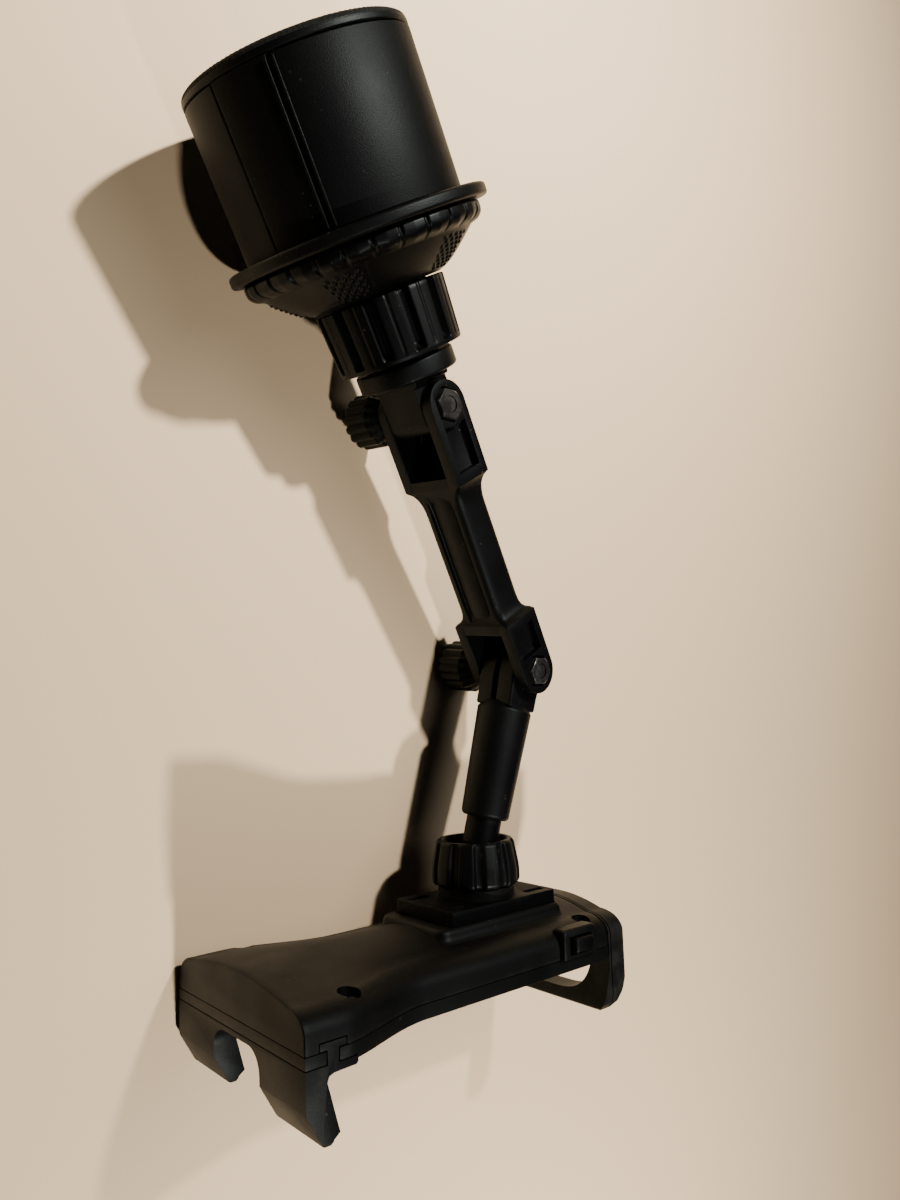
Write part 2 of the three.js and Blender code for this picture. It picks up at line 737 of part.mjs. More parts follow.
const screwBosses = screwPlaces.map(([x, y]) => drum(4.2, -17.4, -8.6, x, y, 16));
const screwBores = screwPlaces.map(([x, y]) => drum(3.3, -13, 0, x, y, 18));
const screwShanks = screwPlaces.map(([x, y]) => drum(1.6, -20, 0, x, y, 12));
const railSlotY = 15;
const railHalfWidth = 4;
const railTop = -13.4;
const railBottom = -17.6;
const railRoom = (y) =>
  box(
    20,
    60,
    y - railHalfWidth - runGap,
    y + railHalfWidth + runGap,
    railBottom - runGap,
    railTop + runGap,
  );
const buttonX = 18.4;
const housing = less(
  loft([
    roundedBox(buttonX, -28.2, 8.4, 3.4, 1).map(([x, y]) => [x, y, -18.7]),
    roundedBox(buttonX, -28.2, 8.2, 3.2, 1).map(([x, y]) => [x, y, -12]),
    roundedBox(buttonX, -27.6, 7.4, 2.4, 1).map(([x, y]) => [x, y, -9.6]),
  ]),
  box(buttonX - 8, buttonX + 8, -26.5, -20, -20, -8),
);
const buttonRoom = box(buttonX - 5.4, buttonX + 5.4, -40, -22, -17.6, -11.8);
const jawKeyX = -83.6;
const keyStem = 1.7;
const keyHead = 4;
const keySlot = joined(
  box(jawKeyX - keyStem - runGap, jawKeyX + keyStem + runGap, -60, 60, -30, -18),
  box(jawKeyX - keyHead - seatGap, jawKeyX + keyHead + seatGap, -60, 60, -19, -16.7),
);
const keyEnds = joined(
  box(-100, -60, -60, -33.6, -40, 0),
  box(-100, -60, 33.6, 60, -40, 0),
);
const bossFloor = raised(roundedBox(bossX, 0, 28, 17, 3), -8.2, -5.8);
const keyBlocks = joined(
  box(-90.4, -77, -37, -33.2, seamHeight, -12.4),
  box(-90.4, -77, 33.2, 37, seamHeight, -12.4),
).intersect(shellOuter);
const backShell = less(
  joined(
    less(joined(shellOuter, boss), shellInner, bossRecess),
    bossFloor,
    ...claws,
    ...screwBosses.map((b) => b.intersect(shellOuter)),
    housing,
    keyBlocks,
  ),
  ...screwBores,
  ...screwShanks,
  railRoom(-railSlotY),
  railRoom(railSlotY),
  buttonRoom,
  keySlot.intersect(keyEnds),
);
piece(cradle, "back_shell", backShell, blackSatin);

screwPlaces.forEach(([x, y], i) => {
  const screw = turned(
    [[0, -19.8], [1.35, -19.8], [1.35, -12.7], [2.9, -12.7], [2.9, -11.4], [2.3, -10.6], [0, -10.6]],
    12,
  ).translate([x, y, 0]);
  piece(cradle, "shell_screw_" + (i + 1), screw, darkSteel);
});

const frontTop = seamHeight - seatGap;
const frontRing = (z, inset) => {
  const near = stations.map((x) => {
    const place = Math.min(Math.max(x, leftEnd + inset), rightEnd - inset);
    return [place, inset - halfWidth(x), z];
  });
  const far = near.map(([x, y]) => [x, -y, z]).reverse();
  return [...near, ...far];
};
const frontSlab = loft([
  frontRing(frontTop, 0),
  frontRing(plateBottom + 1, 0),
  frontRing(plateBottom, 1.2),
]);
const footRoom = box(-100, -75.6, -60, 60, -30, -22.3);
const guideRibs = [-20.2, -9.6, 9.6, 20.2].map((y) => box(-70, 12, y - 0.6, y + 0.6, frontTop - 1, -16));
const stemRoom = box(
  jawKeyX - keyStem - seatGap,
  jawKeyX + keyStem + seatGap,
  -60,
  60,
  -30,
  -10,
).intersect(keyEnds);
piece(
  cradle,
  "front_plate",
  less(
    joined(frontSlab, ...guideRibs),
    footRoom,
    stemRoom,
    ...screwPlaces.map(([x, y]) => drum(1.6, -21, 0, x, y, 12)),
  ),
  blackSatin,
);

const hookSide = [
  [leftEnd, -22.6],
  [leftEnd, -33],
  [-87, jawTip + 0.4],
  [-86, jawTip],
  [-84.2, jawTip + 0.1],
  [-83.6, -41],
  [-81.9, -39.6],
  [-82.3, -38.4],
  [-85.5, -26.8],
  [-85, -25.4],
  [-83.4, -24.8],
  [-76.6, -24.6],
  [-76, -24],
  [-76, -22.6],
];
const hookFront = [
  [-leftHalf, -22],
  [-leftHalf, -41.6],
  [-leftHalf + 1, jawTip - 1],
  [-15.2, jawTip - 1],
  [-14.2, -41.4],
  ...arc(-7.4, -30.6, 6.6, 180, 90, 6),
  ...arc(7.4, -30.6, 6.6, 90, 0, 6),
  [14.2, -41.4],
  [15.2, jawTip - 1],
  [leftHalf - 1, jawTip - 1],
  [leftHalf, -41.6],
  [leftHalf, -22],
];
const jawKey = joined(
  box(jawKeyX - keyStem, jawKeyX + keyStem, -60, 60, -23, -18),
  box(jawKeyX - keyHead, jawKeyX + keyHead, -60, 60, -18.8, -17),
);
const keyKept = joined(
  box(-100, -60, -leftHalf, -34, -40, 0),
  box(-100, -60, 34, leftHalf, -40, 0),
);
piece(
  cradle,
  "fixed_jaw",
  joined(
    pushedY(hookSide, -leftHalf, leftHalf).intersect(pushedX(hookFront, -100, -70)),
    jawKey.intersect(keyKept),
  ),
  blackSatin,
);

const slideSide = [
  [rightEnd + runGap, -4],
  [jawOuter - 1, -4],
  [jawOuter, -12],
  [jawOuter, -31],
  [38.6, -38.6],
  [36.4, -41],
  [33.4, -41.6],
  [31.2, -40.2],
  [31.4, -38.8],
  [rightEnd + runGap, -27],
];
const domeTop = shellSection(0, 0.1, seamHeight).map(([, y, z]) => [y, z]);
const slideFront = [
  ...domeTop.slice(1, -1),
  [waistHalf - 0.1, -36],
  [waistHalf - 2.6, -40],
  [waistHalf - 5, -42],
  [-waistHalf + 5, -42],
  [-waistHalf + 2.6, -40],
  [-waistHalf + 0.1, -36],
];
const slideWindow = pushedX(roundedBox(0, -30.6, 19.4, 6, 5, 6), 20, 60);
piece(
  cradle,
  "moving_jaw",
  less(
    pushedY(slideSide, -60, 60).intersect(pushedX(slideFront, 20, 60)),
    slideWindow,
    box(30, 38.6, -railSlotY - 4.4, railSlotY + 4.4, -18.1, -12.9),
  ),
  blackSatin,
);

const teeth = [];
for (let i = 0; i < 24; i++) {
  const x = -50 + i * 3;
  const tooth = [[x - 1, railTop - 1.4], [x + 0.6, railTop + 0.1], [x + 1.8, railTop - 1.4]];
  teeth.push(pushedY(tooth, -17.6, -15.4));
}
const rails = joined(
  box(-62, 38.3, railSlotY - railHalfWidth, railSlotY + railHalfWidth, railBottom, railTop - 1.2),
  box(-62, 38.3, -railSlotY - railHalfWidth, -railSlotY + railHalfWidth, railBottom, railTop - 1.2),
  box(34.9, 38.3, -railSlotY - 4, railSlotY + 4, railBottom, railTop),
);
piece(cradle, "jaw_rack", joined(rails, ...teeth), naturalPlastic);

const buttonBody = joined(
  loft([
    roundedBox(buttonX, -14.7, 5, 2.5, 0.8).map(([x, z]) => [x, -33, z]),
    roundedBox(buttonX, -14.7, 5, 2.5, 0.8).map(([x, z]) => [x, -27.6, z]),
  ]),
  box(buttonX - 4, buttonX + 1, -28, -24.8, -16.6, -12.8),
);
piece(cradle, "release_button", buttonBody, blackSatin);
piece(
  cradle,
  "latch_pawl",
  joined(
    box(buttonX - 5, buttonX - 1.6, -24.5, -20.6, -15.8, -14),
    box(buttonX - 5, buttonX - 1.6, -22, -20.6, -14.2, -12.4),
    box(buttonX - 5, buttonX - 1.6, -22, -16, -13, -12.4),
  ),
  darkSteel,
);

export default root;
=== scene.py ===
import bpy
import bmesh
import json
from math import sin, cos, pi, radians, degrees, atan2, hypot, tanh
from mathutils import Matrix, Vector


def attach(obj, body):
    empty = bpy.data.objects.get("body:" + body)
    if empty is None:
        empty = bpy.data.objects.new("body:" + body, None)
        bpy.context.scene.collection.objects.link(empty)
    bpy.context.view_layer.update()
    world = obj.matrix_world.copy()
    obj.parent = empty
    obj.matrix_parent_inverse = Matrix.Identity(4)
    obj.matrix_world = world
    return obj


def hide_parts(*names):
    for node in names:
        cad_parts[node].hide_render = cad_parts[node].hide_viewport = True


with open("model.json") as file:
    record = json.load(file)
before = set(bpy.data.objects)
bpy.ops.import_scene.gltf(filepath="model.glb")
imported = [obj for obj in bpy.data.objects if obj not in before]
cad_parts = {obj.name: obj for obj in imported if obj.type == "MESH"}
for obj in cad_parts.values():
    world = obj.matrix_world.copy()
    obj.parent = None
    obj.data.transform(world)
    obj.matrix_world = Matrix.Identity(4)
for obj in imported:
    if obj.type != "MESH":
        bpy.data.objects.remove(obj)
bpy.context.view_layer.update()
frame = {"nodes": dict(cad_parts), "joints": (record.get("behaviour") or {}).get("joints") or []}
print("frame loaded:", len(frame["nodes"]), "nodes")

scene = bpy.context.scene
joint = {j["name"]: j for j in frame["joints"]}
mm = 0.001


# working frames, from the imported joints

def frameAt(origin, xAxis, zAxis):
    x, z = Vector(xAxis).normalized(), Vector(zAxis).normalized()
    y = z.cross(x).normalized()
    x = y.cross(z)
    m = Matrix((x, y, z)).transposed().to_4x4()
    m.translation = Vector(origin)
    return m @ Matrix.Scale(mm, 4)

shoulder = Vector(joint["shoulder_tilt"]["pos_m"])
elbow = Vector(joint["elbow_tilt"]["pos_m"])
ballCentre = Vector(joint["ball_spin"]["pos_m"])
cradleUp = Vector(joint["ball_spin"]["axis"]).normalized()
cradleAlong = Vector(joint["jaw_slide"]["axis"]).normalized()
plugFrame = frameAt((0, 0, 0), (1, 0, 0), (0, 0, 1))
armFrame = frameAt(shoulder, (1, 0, 0), elbow - shoulder)
foreFrame = frameAt(elbow, (1, 0, 0), ballCentre - elbow)
cradleFrame = frameAt(ballCentre - cradleUp * 0.0096, cradleAlong, cradleUp)
armLength = (elbow - shoulder).length / mm
ballReach = (ballCentre - elbow).length / mm


# mesh makers, in millimetres

def arcPoints(cx, cy, radius, start, stop, steps):
    return [(cx + radius * cos(radians(start + (stop - start) * i / steps)),
             cy + radius * sin(radians(start + (stop - start) * i / steps))) for i in range(steps + 1)]

def roundedRect(cx, cy, hx, hy, radius, steps=6):
    return (arcPoints(cx + hx - radius, cy + hy - radius, radius, 0, 90, steps)
            + arcPoints(cx - hx + radius, cy + hy - radius, radius, 90, 180, steps)
            + arcPoints(cx - hx + radius, cy - hy + radius, radius, 180, 270, steps)
            + arcPoints(cx + hx - radius, cy - hy + radius, radius, 270, 360, steps))

def softenProfile(points, steps=4):
    # each point is (r, z) or (r, z, corner radius)
    out = []
    for i, p in enumerate(points):
        radius = p[2] if len(p) > 2 else 0
        here = Vector(p[:2])
        if not radius or i in (0, len(points) - 1):
            out.append(tuple(here))
            continue
        before, after = Vector(points[i - 1][:2]) - here, Vector(points[i + 1][:2]) - here
        reach = min(radius, before.length * 0.48, after.length * 0.48)
        a, b = here + before.normalized() * reach, here + after.normalized() * reach
        for k in range(steps + 1):
            t = k / steps
            out.append(tuple(a * (1 - t) ** 2 + here * 2 * t * (1 - t) + b * t * t))
    return out

def ringSkin(rings, closedEnds=True, wrapRings=False):
    verts = [v for ring in rings for v in ring]
    count, total = len(rings[0]), len(rings)
    faces = []
    for i in range(total if wrapRings else total - 1):
        for j in range(count):
            a, b = i * count + j, i * count + (j + 1) % count
            c, d = ((i + 1) % total) * count + (j + 1) % count, ((i + 1) % total) * count + j
            faces.append((a, b, c, d))
    if closedEnds and not wrapRings:
        faces.append(tuple(range(count))[::-1])
        faces.append(tuple((total - 1) * count + j for j in range(count)))
    return verts, faces

def turned(profile, segments=96, swell=None):
    # a closed profile [(r, z)]; swell(angle, index, r, z) gives each point's own radius and height
    verts, faces = [], []
    index = []
    for k, (r, z) in enumerate(profile):
        if r < 1e-6:
            verts.append((0, 0, z))
            index.append([len(verts) - 1] * segments)
            continue
        row = []
        for s in range(segments):
            a = 2 * pi * s / segments
            rr, zz = (r, z) if swell is None else swell(a, k, r, z)
            verts.append((rr * cos(a), rr * sin(a), zz))
            row.append(len(verts) - 1)
        index.append(row)
    total = len(profile)
    for k in range(total):
        below, above = index[k], index[(k + 1) % total]
        if below[0] == below[1] and above[0] == above[1]:
            continue
        for s in range(segments):
            n = (s + 1) % segments
            face = []
            for v in (below[s], below[n], above[n], above[s]):
                if v not in face:
                    face.append(v)
            if len(face) > 2:
                faces.append(tuple(face))
    return verts, faces

def prism(outline, low, high, axis="z"):
    places = {"x": lambda a, b, c: (c, a, b), "y": lambda a, b, c: (a, c, b), "z": lambda a, b, c: (a, b, c)}
    place = places[axis]
    count = len(outline)
    verts = [place(a, b, low) for a, b in outline] + [place(a, b, high) for a, b in outline]
    faces = [(j, (j + 1) % count, count + (j + 1) % count, count + j) for j in range(count)]
    faces += [tuple(range(count))[::-1], tuple(range(count, 2 * count))]
    return verts, faces

def block(x0, x1, y0, y1, z0, z1):
    return prism([(x0, y0), (x1, y0), (x1, y1), (x0, y1)], z0, z1)

def rectRings(cx, cy, rows, steps):
    # each row is (half width, half depth, corner radius, z)
    return [[(cx + x, cy + y, z) for x, y in roundedRect(0, 0, hx, hy, radius, steps)]
            for hx, hy, radius, z in rows]

def turnedBy(shape, angle=0, shift=(0, 0, 0), matrix=None):
    m = matrix or (Matrix.Translation(shift) @ Matrix.Rotation(radians(angle), 4, "Z"))
    return [tuple(m @ Vector(v)) for v in shape[0]], shape[1]

def alongX(shape, sign=1):
    return turnedBy(shape, matrix=Matrix.Rotation(sign * pi / 2, 4, "Y"))

def meshOf(name, *shapes):
    bm = bmesh.new()
    for verts, faces in shapes:
        made = [bm.verts.new(v) for v in verts]
        for face in faces:
            bm.faces.new([made[i] for i in face])
    bmesh.ops.remove_doubles(bm, verts=bm.verts[:], dist=1e-4)
    bmesh.ops.recalc_face_normals(bm, faces=bm.faces[:])
    mesh = bpy.data.meshes.new(name)
    bm.to_mesh(mesh)
    bm.free()
    made = bpy.data.objects.new(name, mesh)
    scene.collection.objects.link(made)
    return made

def settle(made):
    # modifiers become mesh
    graph = bpy.context.evaluated_depsgraph_get()
    mesh = bpy.data.meshes.new_from_object(made.evaluated_get(graph))
    made.modifiers.clear()
    made.data = mesh

def cutBy(made, operation, *shapes):
    for shape in shapes:
        tool = meshOf("tool", shape)
        step = made.modifiers.new("cut", "BOOLEAN")
        step.operation, step.solver, step.object = operation, "EXACT", tool
        settle(made)
        bpy.data.objects.remove(tool)

def softenEdges(made, width, segments=3, angle=32):
    bm = bmesh.new()
    bm.from_mesh(made.data)
    bmesh.ops.dissolve_limit(bm, angle_limit=radians(1.2), verts=bm.verts[:], edges=bm.edges[:])
    bm.to_mesh(made.data)
    bm.free()
    step = made.modifiers.new("edge", "BEVEL")
    step.width, step.segments, step.limit_method, step.angle_limit = width, segments, "ANGLE", radians(angle)
    step.use_clamp_overlap, step.harden_normals = True, False
    settle(made)

def finishPiece(made, where, body, finish, nodes=(), sharp=38):
    made.data.transform(where)
    made.data.shade_smooth()
    made.data.set_sharp_from_angle(angle=radians(sharp))
    made.data.materials.clear()
    made.data.materials.append(finish)
    if nodes:
        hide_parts(*nodes)
    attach(made, body)
    return made


# shader groups: each puts out masks, heights and colours only

def newGroup(name, inputs, outputs):
    group = bpy.data.node_groups.new(name, "ShaderNodeTree")
    for label, kind, value in inputs:
        made = group.interface.new_socket(name=label, in_out="INPUT", socket_type=kind)
        if value is not None:
            made.default_value = value
    for label, kind in outputs:
        group.interface.new_socket(name=label, in_out="OUTPUT", socket_type=kind)
    return group, group.nodes.new("NodeGroupInput"), group.nodes.new("NodeGroupOutput")

def mathNode(tree, operation, a, b=None, clamp=False):
    node = tree.nodes.new("ShaderNodeMath")
    node.operation, node.use_clamp = operation, clamp
    for i, value in enumerate((a, b)):
        if value is None:
            continue
        if isinstance(value, (int, float)):
            node.inputs[i].default_value = value
        else:
            tree.links.new(value, node.inputs[i])
    return node.outputs[0]

def rangeNode(tree, value, low, high, toLow=0.0, toHigh=1.0):
    node = tree.nodes.new("ShaderNodeMapRange")
    tree.links.new(value, node.inputs["Value"])
    for label, v in (("From Min", low), ("From Max", high), ("To Min", toLow), ("To Max", toHigh)):
        if isinstance(v, (int, float)):
            node.inputs[label].default_value = v
        else:
            tree.links.new(v, node.inputs[label])
    return node.outputs["Result"]

def noiseNode(tree, place, scale, detail=2.0, rough=0.5):
    node = tree.nodes.new("ShaderNodeTexNoise")
    node.noise_dimensions = "3D"
    tree.links.new(place, node.inputs["Vector"])
    if isinstance(scale, (int, float)):
        node.inputs["Scale"].default_value = scale
    else:
        tree.links.new(scale, node.inputs["Scale"])
    node.inputs["Detail"].default_value = detail
    node.inputs["Roughness"].default_value = rough
    return node.outputs["Fac"]

def makeMouldGrain():
    # spark-eroded mould texture: fine pits over a faint flow mottle
    group, put, out = newGroup("mouldGrain",
        [("Pit Scale", "NodeSocketFloat", 2600.0), ("Mottle Scale", "NodeSocketFloat", 90.0)],
        [("Height", "NodeSocketFloat"), ("Mottle", "NodeSocketFloat"), ("Pits", "NodeSocketFloat")])
    place = group.nodes.new("ShaderNodeTexCoord").outputs["Object"]
    fine = noiseNode(group, place, put.outputs["Pit Scale"], 3.0, 0.6)
    mottle = noiseNode(group, place, put.outputs["Mottle Scale"], 4.0, 0.55)
    pits = rangeNode(group, fine, 0.36, 0.66)
    height = mathNode(group, "ADD", pits, mathNode(group, "MULTIPLY", mottle, 0.35))
    group.links.new(height, out.inputs["Height"])
    group.links.new(mottle, out.inputs["Mottle"])
    group.links.new(pits, out.inputs["Pits"])
    return group

def makeEdgeWear():
    # rubbed edges, broken up so that no line is even
    group, put, out = newGroup("edgeWear",
        [("Start", "NodeSocketFloat", 0.54), ("End", "NodeSocketFloat", 0.64),
         ("Break Scale", "NodeSocketFloat", 160.0)],
        [("Mask", "NodeSocketFloat")])
    point = group.nodes.new("ShaderNodeNewGeometry").outputs["Pointiness"]
    place = group.nodes.new("ShaderNodeTexCoord").outputs["Object"]
    edge = rangeNode(group, point, put.outputs["Start"], put.outputs["End"])
    patches = noiseNode(group, place, put.outputs["Break Scale"], 4.0, 0.6)
    broken = rangeNode(group, patches, 0.42, 0.62, 0.25, 1.0)
    group.links.new(mathNode(group, "MULTIPLY", edge, broken, True), out.inputs["Mask"])
    return group

def makeDust():
    # sparse lint specks and a soft, uneven film
    group, put, out = newGroup("handlingDust",
        [("Speck Scale", "NodeSocketFloat", 420.0), ("Film Scale", "NodeSocketFloat", 34.0)],
        [("Specks", "NodeSocketFloat"), ("Film", "NodeSocketFloat")])
    place = group.nodes.new("ShaderNodeTexCoord").outputs["Object"]
    cells = group.nodes.new("ShaderNodeTexVoronoi")
    cells.feature = "F1"
    group.links.new(place, cells.inputs["Vector"])
    group.links.new(put.outputs["Speck Scale"], cells.inputs["Scale"])
    near = rangeNode(group, cells.outputs["Distance"], 0.16, 0.05)
    spread = rangeNode(group, noiseNode(group, place, 140.0, 2.0), 0.56, 0.66)
    group.links.new(mathNode(group, "MULTIPLY", near, spread, True), out.inputs["Specks"])
    film = rangeNode(group, noiseNode(group, place, put.outputs["Film Scale"], 5.0, 0.6), 0.4, 0.75)
    group.links.new(film, out.inputs["Film"])
    return group

mouldGrain, edgeWear, handlingDust = makeMouldGrain(), makeEdgeWear(), makeDust()

def groupNode(tree, group, **values):
    node = tree.nodes.new("ShaderNodeGroup")
    node.node_tree = group
    for label, value in values.items():
        node.inputs[label.replace("_", " ")].default_value = value
    return node

def plasticFinish(name, look):
    finish = bpy.data.materials.new(name)
    finish.use_nodes = True
    tree = finish.node_tree
    shader = tree.nodes["Principled BSDF"]
    grain = groupNode(tree, mouldGrain, Pit_Scale=look["pitScale"], Mottle_Scale=look["mottleScale"])
    wear = groupNode(tree, edgeWear, Start=look["wearStart"], End=look["wearEnd"], Break_Scale=180.0)
    dust = groupNode(tree, handlingDust, Speck_Scale=look["speckScale"], Film_Scale=30.0)
    base = tree.nodes.new("ShaderNodeMix")
    base.data_type = "RGBA"
    base.inputs["A"].default_value = (*look["colour"], 1)
    base.inputs["B"].default_value = (*look["colourWorn"], 1)
    rubbed = mathNode(tree, "MULTIPLY", wear.outputs["Mask"], look["wear"])
    mottled = mathNode(tree, "MULTIPLY", grain.outputs["Mottle"], look["mottle"])
    tree.links.new(mathNode(tree, "ADD", rubbed, mottled, True), base.inputs["Factor"])
    dusty = tree.nodes.new("ShaderNodeMix")
    dusty.data_type = "RGBA"
    dusty.inputs["B"].default_value = (0.23, 0.22, 0.2, 1)
    tree.links.new(base.outputs["Result"], dusty.inputs["A"])
    specks = mathNode(tree, "MULTIPLY", dust.outputs["Specks"], look["specks"])
    film = mathNode(tree, "MULTIPLY", dust.outputs["Film"], look["film"])
    tree.links.new(mathNode(tree, "ADD", specks, film, True), dusty.inputs["Factor"])
    tree.links.new(dusty.outputs["Result"], shader.inputs["Base Color"])
    low, high = look["roughness"]
    rough = rangeNode(tree, grain.outputs["Mottle"], 0.25, 0.75, low, high)
    filmRough = mathNode(tree, "MULTIPLY", dust.outputs["Film"], look["film"] * 2.5)
    rough = mathNode(tree, "ADD", rough, filmRough, True)
    tree.links.new(rough, shader.inputs["Roughness"])
    shader.inputs["IOR"].default_value = look["ior"]
    shader.inputs["Specular IOR Level"].default_value = look["shine"]
    shader.inputs["Specular Tint"].default_value = look["tint"]
    shader.inputs["Metallic"].default_value = look.get("metal", 0.0)
    bump = tree.nodes.new("ShaderNodeBump")
    bump.inputs["Strength"].default_value = look["bump"]
    bump.inputs["Distance"].default_value = look.get("bumpDepth", 0.00006)
    tree.links.new(grain.outputs["Height"], bump.inputs["Height"])
    tree.links.new(bump.outputs["Normal"], shader.inputs["Normal"])
    return finish

satinLook = {"colour": (0.0012, 0.0013, 0.0016), "colourWorn": (0.022, 0.021, 0.02), "roughness": (0.38, 0.5),
             "shine": 0.3, "ior": 1.3, "tint": (0.8, 0.95, 1.0, 1), "pitScale": 2400.0, "mottleScale": 70.0,
             "bump": 0.42, "wear": 0.5, "wearStart": 0.53, "wearEnd": 0.66, "mottle": 0.03,
             "speckScale": 400.0, "specks": 0.2, "film": 0.004}
wingLook = dict(satinLook, shine=0.25, roughness=(0.44, 0.54), specks=0.07, pitScale=2800.0, bump=0.4,
                mottleScale=45.0)
shellLook = dict(satinLook, colour=(0.0014, 0.0015, 0.0017), roughness=(0.42, 0.54), pitScale=2600.0,
                 bump=0.4, shine=0.36)
glossLook = dict(satinLook, colour=(0.0011, 0.0012, 0.0015), roughness=(0.34, 0.46), pitScale=3000.0,
                 bump=0.2, wear=0.35)
matteLook = dict(satinLook, colour=(0.0011, 0.0012, 0.0015), roughness=(0.48, 0.62), shine=0.2,
                 pitScale=2000.0, bump=0.6)
rubberLook = dict(satinLook, colour=(0.004, 0.0039, 0.0038), shine=0.4, roughness=(0.72, 0.9),
                  pitScale=900.0, bump=0.9, bumpDepth=0.00015, film=0.03, specks=0.4)
acetalLook = dict(satinLook, colour=(0.12, 0.12, 0.125), colourWorn=(0.2, 0.2, 0.2), roughness=(0.4, 0.55))
steelLook = dict(satinLook, tint=(1, 1, 1, 1), colour=(0.004, 0.004, 0.005), colourWorn=(0.08, 0.08, 0.08),
                 roughness=(0.22, 0.34), metal=0.3, ior=1.5, wear=0.6, wearStart=0.51, wearEnd=0.6,
                 pitScale=1500.0, bump=0.2)
brightLook = dict(steelLook, colour=(0.42, 0.42, 0.43), colourWorn=(0.6, 0.6, 0.6), metal=1.0)

satin = plasticFinish("satinBlack", satinLook)
wingSatin = plasticFinish("wingBlack", wingLook)
shellSatin = plasticFinish("shellBlack", shellLook)
gloss = plasticFinish("glossBlack", glossLook)
matte = plasticFinish("matteBlack", matteLook)
rubber = plasticFinish("rubberBlack", rubberLook)
acetal = plasticFinish("acetalGrey", acetalLook)
darkSteel = plasticFinish("darkSteel", steelLook)
brightSteel = plasticFinish("brightSteel", brightLook)
print("finishes made")


# plug

plug = {"radius": 35.0, "wall": 2.5, "top": 48.7, "wingFrom": -34.7, "wingTo": 52.3, "panelFrom": 54.6,
        "panelTo": 84.7, "ridge": 0.6, "ridgeFoot": 34.2, "ridgeTop": 47.9, "padTeeth": 132,
        "padEdge": 33, "toothHeight": 0.13, "pivotRadius": 31.2, "pivotAngle": 50.6, "pegRadius": 21.0,
        "slotHalf": 1.95}

def wallArc(name, inner, outer, start, stop, low, high, steps, turn, edge):
    # a closed strip of the plug's round wall, with its edges softened
    outline = arcPoints(0, 0, outer, start, stop, steps) + arcPoints(0, 0, inner, stop, start, steps)
    made = meshOf(name, turnedBy(prism(outline, low, high), turn))
    softenEdges(made, edge)
    return made

def wallSkin(name, start, stop, low, high, steps, turn, edge):
    inner = plug["radius"] - plug["wall"]
    return wallArc(name, inner, plug["radius"], start, stop, low, high, steps, turn, edge)

def seamRidge(name, start, stop, low, turn):
    outer = plug["radius"] + plug["ridge"]
    return wallArc(name, plug["ridgeFoot"], outer, start, stop, low, plug["ridgeTop"], 2, turn, 0.22)

padProfile = softenProfile([(0, 0), (33.4, 0, 0.5), (34.6, 0.8, 0.4), (34.9, 1.72), (0, 1.72)])
def padTooth(a, k, r, z):
    if r <= plug["padEdge"] or z >= 1.4:
        return r, z
    bump = plug["toothHeight"] * sin(plug["padTeeth"] * a) * (0.55 + 0.45 * sin(5 * a + 1))
    return r + bump, z + bump * 0.8
pad = meshOf("footPad", turned(padProfile, 528, padTooth))
finishPiece(pad, plugFrame, "plug", rubber, ["bottom_pad"])

capProfile = softenProfile([(0, 1.74), (34.9, 1.74), (34.98, 2.3, 0.2), (34.95, 3.3, 0.2), (34.6, 3.6),
                            (0, 3.6)])
cap = meshOf("footCap", turned(capProfile, 144))
finishPiece(cap, plugFrame, "plug", satin, ["bottom_cap"])

coreFloor = turned([(0, 3.8), (32.1, 3.8), (32.1, 6.2), (0, 6.2)], 96)
coreTube = turned([(5.6, 6), (8, 6), (8, 44.8), (5.6, 44.8)], 48)
core = meshOf("plugCore", coreFloor, coreTube)
panelFrom, panelTo = plug["panelFrom"], plug["panelTo"]
for k in range(3):
    turn = k * 120
    panel = wallSkin("narrowPanel%d" % (k + 1), panelFrom, panelTo, 3.8, plug["top"], 26, turn, 0.22)
    ridge = seamRidge("panelRidge%d" % (k + 1), panelFrom + 0.05, panelFrom + 1.4, 4.8, turn)
    finishPiece(panel, plugFrame, "plug", matte)
    finishPiece(ridge, plugFrame, "plug", satin)
    web = meshOf("panelWeb%d" % (k + 1), turnedBy(block(7, 33, -1.1, 1.1, 4.5, 44), turn + 69.9))
    finishPiece(web, plugFrame, "plug", matte)
finishPiece(core, plugFrame, "plug", matte, ["base_core"])

pivotAt, pivotOut, pegOut = radians(plug["pivotAngle"]), plug["pivotRadius"], plug["pegRadius"]
pivotPlace = (pivotOut * cos(pivotAt), pivotOut * sin(pivotAt))
pivotTube = turned([(1.25, 6.7), (2.2, 6.7), (2.2, 48.3), (1.25, 48.3)], 32)
camPeg = turned([(0, 47), (1.6, 47), (1.6, 54.9), (0, 54.9)], 24)
for k in range(3):
    turn, body = k * 120, "wing_" + "abc"[k]
    skin = wallSkin("wingSkin%d" % (k + 1), plug["wingFrom"], plug["wingTo"], 4, 48.5, 64, turn, 0.3)
    finishPiece(skin, plugFrame, body, wingSatin, ["wing_%d" % (k + 1)])
    ridge = seamRidge("wingRidge%d" % (k + 1), plug["wingTo"] - 1.4, plug["wingTo"] - 0.05, 4.6, turn)
    finishPiece(ridge, plugFrame, body, satin)
    pegPlace = (pegOut * cos(radians(turn)), pegOut * sin(radians(turn)), 0)
    inside = meshOf("wingInside%d" % (k + 1),
                    turnedBy(block(18.4, 33, -2.4, 2.4, 43.6, 47.6), turn),
                    turnedBy(camPeg, turn, pegPlace),
                    turnedBy(turnedBy(pivotTube, 0, (*pivotPlace, 0)), turn),
                    turnedBy(turnedBy(block(30.6, 33, -2.1, 0, 6.7, 48.3), plug["pivotAngle"]), turn))
    finishPiece(inside, plugFrame, body, matte)

